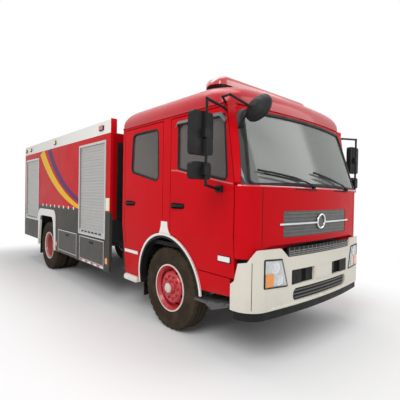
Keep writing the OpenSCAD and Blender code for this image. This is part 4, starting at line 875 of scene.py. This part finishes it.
def step_trim(name, side, where, x0, x1, top):
    """Frame, grip and reflective strips of one step door."""
    body = "%s_%s_step" % (where, name)
    shape = group("step_frame_" + body, body, aluminium)
    bars = uprights_and_head(x0, x1, STEP_FOOT, top, STEP_RIM)
    for xs, zs in bars + [((x0 + STEP_RIM, x1 - STEP_RIM), (0.540, 0.552))]:
        shape.slab(side, ahead(*xs), proud(-0.002, 0.005), zs, 0.002)
    middle = (x0 + x1) / 2
    shape = group("step_grip_" + body, body, black)
    xs, zs = ahead(middle - 0.07, middle + 0.07), (top - 0.10, top - 0.055)
    shape.slab(side, xs, proud(-0.002, 0.007), zs, 0.003)
    if where == "front":
        ends = spread(x0 + 0.02, x1 - 0.02, 8)
        for k in range(8):
            colour, mat = ("white", reflex) if k % 2 else ("red", red_lens)
            shape = group("step_strip_%s_%s" % (colour, body), body, mat)
            shape.slab(side, ahead(ends[k], ends[k + 1]), proud(-0.002, 0.003), (0.500, 0.532), 0)


def body_lamps(name, side):
    """Rail lamps, low markers and tail lamps, the rail's red end, and a black strip of painted shade behind
    the cab.
    """
    for k, (x, width, mat) in enumerate(RAIL_LAMPS):
        half = width / 2 + 0.006
        shape = group("rail_lens_%d_%s" % (k, name), "chassis", mat)
        shape.slab(side, ahead(x - half, x + half), proud(0.004, 0.026), (2.702, 2.783), 0.012, 4)
    for label, xs, top in LOW_LAMPS:
        shape = group(label + name, "chassis", amber)
        shape.slab(side, ahead(*xs), proud(-0.002, 0.012), (0.595, top), 0.006)
    shape = group("rail_end_" + name, "chassis", red)
    shape.slab(side, (BODY_FRONT - 0.002, BODY_FRONT + 0.003), (1.145, BODY_HALF), (2.641, 2.859), 0)
    # painted shade: a black strip on the front wall, where the gap behind the cab lies in shadow
    shape = group("gap_painted_shade_" + name, "chassis", seal)
    shape.slab(side, (BODY_FRONT - 0.002, BODY_FRONT + 0.018), (1.0, 1.135), (1.30, 2.50), 0.004)
    for k, mat in enumerate((red_lens, amber, reflex)):
        z = 0.948 + 0.097 * k
        shape = group("tail_lens_%d_%s" % (k, name), "chassis", mat)
        shape.slab(side, (BODY_REAR - 0.058, BODY_REAR - 0.046), (1.025, 1.175), (z, z + 0.09), 0.006)


for name, side in SIDES:
    stripe("stripe_yellow_" + name, side, yellow, YELLOW_CURVE, 0.27, 0.07)
    stripe("stripe_purple_" + name, side, purple, PURPLE_CURVE, 0.20, 0.07)
    shutter_trim(name, side)
    reflectors(name, side)
    rear_arch(name, side)
    for step in STEPS:
        step_trim(name, side, *step)
    body_lamps(name, side)
shape = group("rear_plate", "chassis", reflex)
shape.box((BODY_REAR - 0.106, -0.24, 0.585), (BODY_REAR - 0.099, 0.24, 0.665), 0.003)

# cab trim: peak over the arch, strip and block along the sill, drip rail

PEAK = [(-0.098, 1.196), (-0.060, 1.25), (-0.036, 1.31), (-0.030, 1.370),
        (0.094, 1.370), (0.100, 1.31), (0.124, 1.25), (0.162, 1.196)]
for name, side in SIDES:
    shape = group("arch_peak_" + name, "cab", white)
    shape.loft([[(AXLE_X + x, side * (skin_y(z) + out), z) for x, z in PEAK] for out in (-0.004, 0.006)])
    sill = skin_y(0.88)
    shape = group("sill_strip_" + name, "cab", white)
    shape.slab(side, ahead(-1.0, -0.64), (sill - 0.004, sill + 0.008), (0.856, 0.900), 0.003)
    shape = group("sill_block_" + name, "cab", white)
    shape.slab(side, ahead(-1.0, -0.66), (1.09, 1.185), (0.455, 0.535), 0.014, 3)
    shape = group("drip_rail_" + name, "cab", roof_red)
    shape.tube([(x, side * 1.204, 2.648) for x in ahead(1.05, 0.6, 0.0, -0.6, -1.03)], 0.010, 8, flat=0.8)

# roof: the same levels as the part's, drawn finer

ROOF_FRONT, ROOF_REAR = CAB_FRONT - 0.84 * math.tan(LEAN), -1.035
ROOF_LOW, ROOF_SPRING, ROOF_RISE = 2.65, 2.68, 0.23
CROWN_FRONT, CROWN_SIDE, CROWN_REAR = 0.27, 0.24, 0.18  # how far the crown draws in
LINING, LINING_TOP = 0.05, 2.74  # how far the inner edge lies inside the skin, and its height


def roof_ring(angle, z, inside=0.0):
    """One level of the roof's outline, drawn in by its crown's angle and by an offset."""
    k = 1 - math.cos(angle)
    front, half = ROOF_FRONT - CROWN_FRONT * k - inside, CAB_HALF - CROWN_SIDE * k - inside
    r = CAB_CORNER + 0.34 * k - inside / 2
    rear, rear_r = ROOF_REAR + CROWN_REAR * k + inside, 0.02 + 0.2 * k
    corner_x = front - BOW + math.sqrt((BOW - r) ** 2 - (half - r) ** 2)
    touch = math.atan2(half - r, corner_x - front + BOW)
    edge = []
    for a in spread(0, math.pi / 2, 6):
        edge.append((rear + rear_r - rear_r * math.cos(a), half - rear_r + rear_r * math.sin(a)))
    for a in spread(math.pi / 2, touch, 12):
        edge.append((corner_x + r * math.cos(a), half - r + r * math.sin(a)))
    for a in spread(touch, 0, 10)[1:-1]:
        edge.append((front - BOW + BOW * math.cos(a), BOW * math.sin(a)))
    ring = edge + [(front, 0.0)] + [(x, -y) for x, y in reversed(edge)]
    return [Vector((AXLE_X + x, y, z)) for x, y in ring]


crown = [roof_ring(a, ROOF_SPRING + ROOF_RISE * math.sin(a)) for a in spread(0, math.pi / 2, 14)]
centre = Vector((AXLE_X, 0, ROOF_SPRING + ROOF_RISE))
inner = [[centre + (p - centre) * part for p in crown[-1]] for part in (0.75, 0.4, 0.12)]
hem = [roof_ring(0, LINING_TOP, LINING), roof_ring(0, ROOF_LOW, LINING), roof_ring(0, ROOF_LOW)]
group("roof_skin", "cab", roof_red).loft(hem + crown + inner)

# light bar: crowned lens with domed ends on a dark base and two feet

BAR_X, BAR_Z, BAR_HALF, BAR_DOME = 0.55, 2.985, 0.95, 0.19
rows = []
for y in spread(-BAR_HALF, BAR_HALF, 40):
    past = max(0.0, abs(y) - (BAR_HALF - BAR_DOME)) / BAR_DOME
    size = math.sqrt(max(0.0025, 1 - past ** 2))
    row = []
    for a in spread(0, math.pi, 16):
        reach = math.copysign(abs(math.cos(a)) ** 0.55, math.cos(a))
        x, z = BAR_X + 0.15 * size ** 0.5 * reach, BAR_Z + 0.125 * size * math.sin(a) ** 0.55
        row.append((AXLE_X + x, y, z))
    rows.append(row)
group("light_bar_form", "cab", red_lens).loft(rows)
shape = group("light_bar_base", "cab", black)
shape.box((AXLE_X + 0.42, -0.90, 2.955), (AXLE_X + 0.68, 0.90, 2.986), 0.008)
for y in (-0.48, 0.48):
    shape.box((AXLE_X + 0.49, y - 0.05, 2.905), (AXLE_X + 0.61, y + 0.05, 2.96), 0.004)

# mirror glasses: door mirrors look back, the round one looks down

for name, side in SIDES:
    shape = group("mirror_glass_" + name, "front_%s_door" % name, mirror_face)
    for y0, y1, z0, z1 in ((1.445, 1.675, 2.095, 2.455), (1.465, 1.675, 1.865, 1.995)):
        pane = rounded([(side * y0, z0), (side * y0, z1), (side * y1, z1), (side * y1, z0)], 0.03)
        shape.loft([[(x, y, z) for y, z in pane] for x in ahead(1.057, 1.062)])
shape = group("round_mirror_glass", "cab", mirror_face)
disc, disc_at = [(0.112, -0.002), (0.112, 0.003), (0.0, 0.004)], (AXLE_X + 1.340, -1.009, 2.552)
shape.lathe(disc, disc_at, (0, 0.927, -0.375), 40)

# tyres with grooves and shoulder lugs

TYRE_WALL = [(0.285, 0.1075), (0.325, 0.1275), (0.352, 0.1330), (0.3965, 0.1375), (0.430, 0.1365),
             (0.433, 0.1380), (0.440, 0.1380), (0.443, 0.1355), (0.470, 0.1325)]
TYRE_LUG = [(0.488, 0.1275), (0.512, 0.1195), (0.520, 0.1035)]
TYRE_RIBS = [(0.520, 0.068), (0.508, 0.064), (0.508, 0.056), (0.520, 0.052), (0.520, 0.008), (0.508, 0.004)]
LUG_DEPTH = 0.012
HOLE_R, HOLE_Y, HOLE_WIDE, HOLE_TALL = 0.2085, 1.019, 0.021, 0.034


def tyre(shape, x, y):
    rings = []
    for k, a in enumerate(turn(180)):
        low = LUG_DEPTH if k % 5 in (0, 1) else 0.0
        half = TYRE_WALL + [(r - low, w) for r, w in TYRE_LUG] + TYRE_RIBS
        ring = [(r, -w) for r, w in half] + half[::-1]
        rings.append([(x + r * math.cos(a), y + w, AXLE_Z + r * math.sin(a)) for r, w in ring])
    shape.loft(rings, closed=True)


def hand_holes(shape, side):
    """Dark ovals over the hand holes, laid on the rim's cone: painted shade where the holes show the dark
    behind the rim.
    """
    cos, sin = 0.607, 0.795  # of the cone's slope
    for k in range(8):
        a = math.pi * (k + 0.5) / 4
        spoke, along = Vector((math.cos(a), 0, math.sin(a))), Vector((-math.sin(a), 0, math.cos(a)))
        down, out = cos * spoke - Vector((0, side * sin, 0)), sin * spoke + Vector((0, side * cos, 0))
        middle = Vector((AXLE_X, side * HOLE_Y, AXLE_Z)) + HOLE_R * spoke
        across, drop = HOLE_WIDE * along, HOLE_TALL * down
        oval = [middle + math.cos(t) * across + math.sin(t) * drop for t in turn(20)]
        shape.loft([[p + height * out for p in oval] for height in (-0.003, 0.0012)])


HUB_CAP = [(0.062, 0.0), (0.060, 0.012), (0.046, 0.024), (0.0, 0.028)]
FRONT_TYRE_Y, REAR_TYRES_Y = 0.965, (1.065, 0.755)
for name, side in SIDES:
    front_wheel, rear_wheel = "front_%s_wheel" % name, "rear_%s_wheel" % name
    tyre(group("tyre_form_front_" + name, front_wheel, rubber_front), AXLE_X, side * FRONT_TYRE_Y)
    for y in REAR_TYRES_Y:
        tyre(group("tyre_form_rear_" + name, rear_wheel, rubber_rear), REAR_X, side * y)
    hand_holes(group("rim_holes_" + name, front_wheel, dark), side)
    shape = group("hub_cap_front_" + name, front_wheel, cream)
    shape.lathe(HUB_CAP, (AXLE_X, side * 1.100, AXLE_Z), (0, side, 0), 32)

# seats: crowned cushions, backs and head rests on dark bases

FRONT_SEAT, REAR_SEAT = (0.33, 0.265, 0.48, 0.70), (-0.845, 0.24, 0.46, 0.64)  # x, half width, depth, rise
SEAT_Z, BACK_LEAN = 1.48, 0.13


def power(value):
    """A sine or cosine drawn out towards a square."""
    return math.copysign(abs(value) ** 0.35, value)


def pillow(shape, at, half, lean_back=0.0):
    """A rounded block with crowned faces."""
    tilt = Matrix.Rotation(-lean_back, 3, "Y")
    rings = []
    for u in spread(-math.pi / 2, math.pi / 2, 12):
        ring = []
        for v in turn(28):
            wide = power(math.cos(u))
            unit = (wide * power(math.cos(v)), wide * power(math.sin(v)), power(math.sin(u)))
            ring.append(Vector(at) + tilt @ Vector([h * c for h, c in zip(half, unit)]))
        rings.append(ring)
    shape.loft(rings)


pads, bases = group("seat_pads", "cab", cloth), group("seat_bases", "cab", interior)
places = [(FRONT_SEAT, y) for y in (-0.585, 0.585)] + [(REAR_SEAT, y) for y in (-0.75, -0.25, 0.25, 0.75)]
for (x, half, depth, rise), y in places:
    pillow(pads, (AXLE_X + x + depth / 2 + 0.05, y, 1.425), (depth / 2 - 0.03, half, 0.066))
    tall = rise / 2 - 0.03
    pillow(pads, (AXLE_X + x + 0.005, y, SEAT_Z + tall), (0.058, half * 0.96, tall), BACK_LEAN)
    pillow(pads, (AXLE_X + x - 0.035, y, SEAT_Z + rise - 0.06), (0.045, half * 0.55, 0.075), BACK_LEAN)
    width = half - 0.06
    bases.box((AXLE_X + x + 0.05, y - width, 1.11), (AXLE_X + x + depth - 0.07, y + width, 1.37), 0.02)

# close

REPLACES = {"roof_skin": ["cab_roof"], "seat_pads": ["seats"], "light_bar_form": ["light_bar"]}
REPLACES["screen_skin"] = ["windscreen"]
for name, side in SIDES:
    REPLACES["tyre_form_front_" + name] = ["tyre_front_" + name]
    REPLACES["tyre_form_rear_" + name] = ["tyres_rear_" + name]
for shape in list(GROUPS.values()):
    piece = shape.done()
    if shape.name in REPLACES:
        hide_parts(*REPLACES[shape.name])
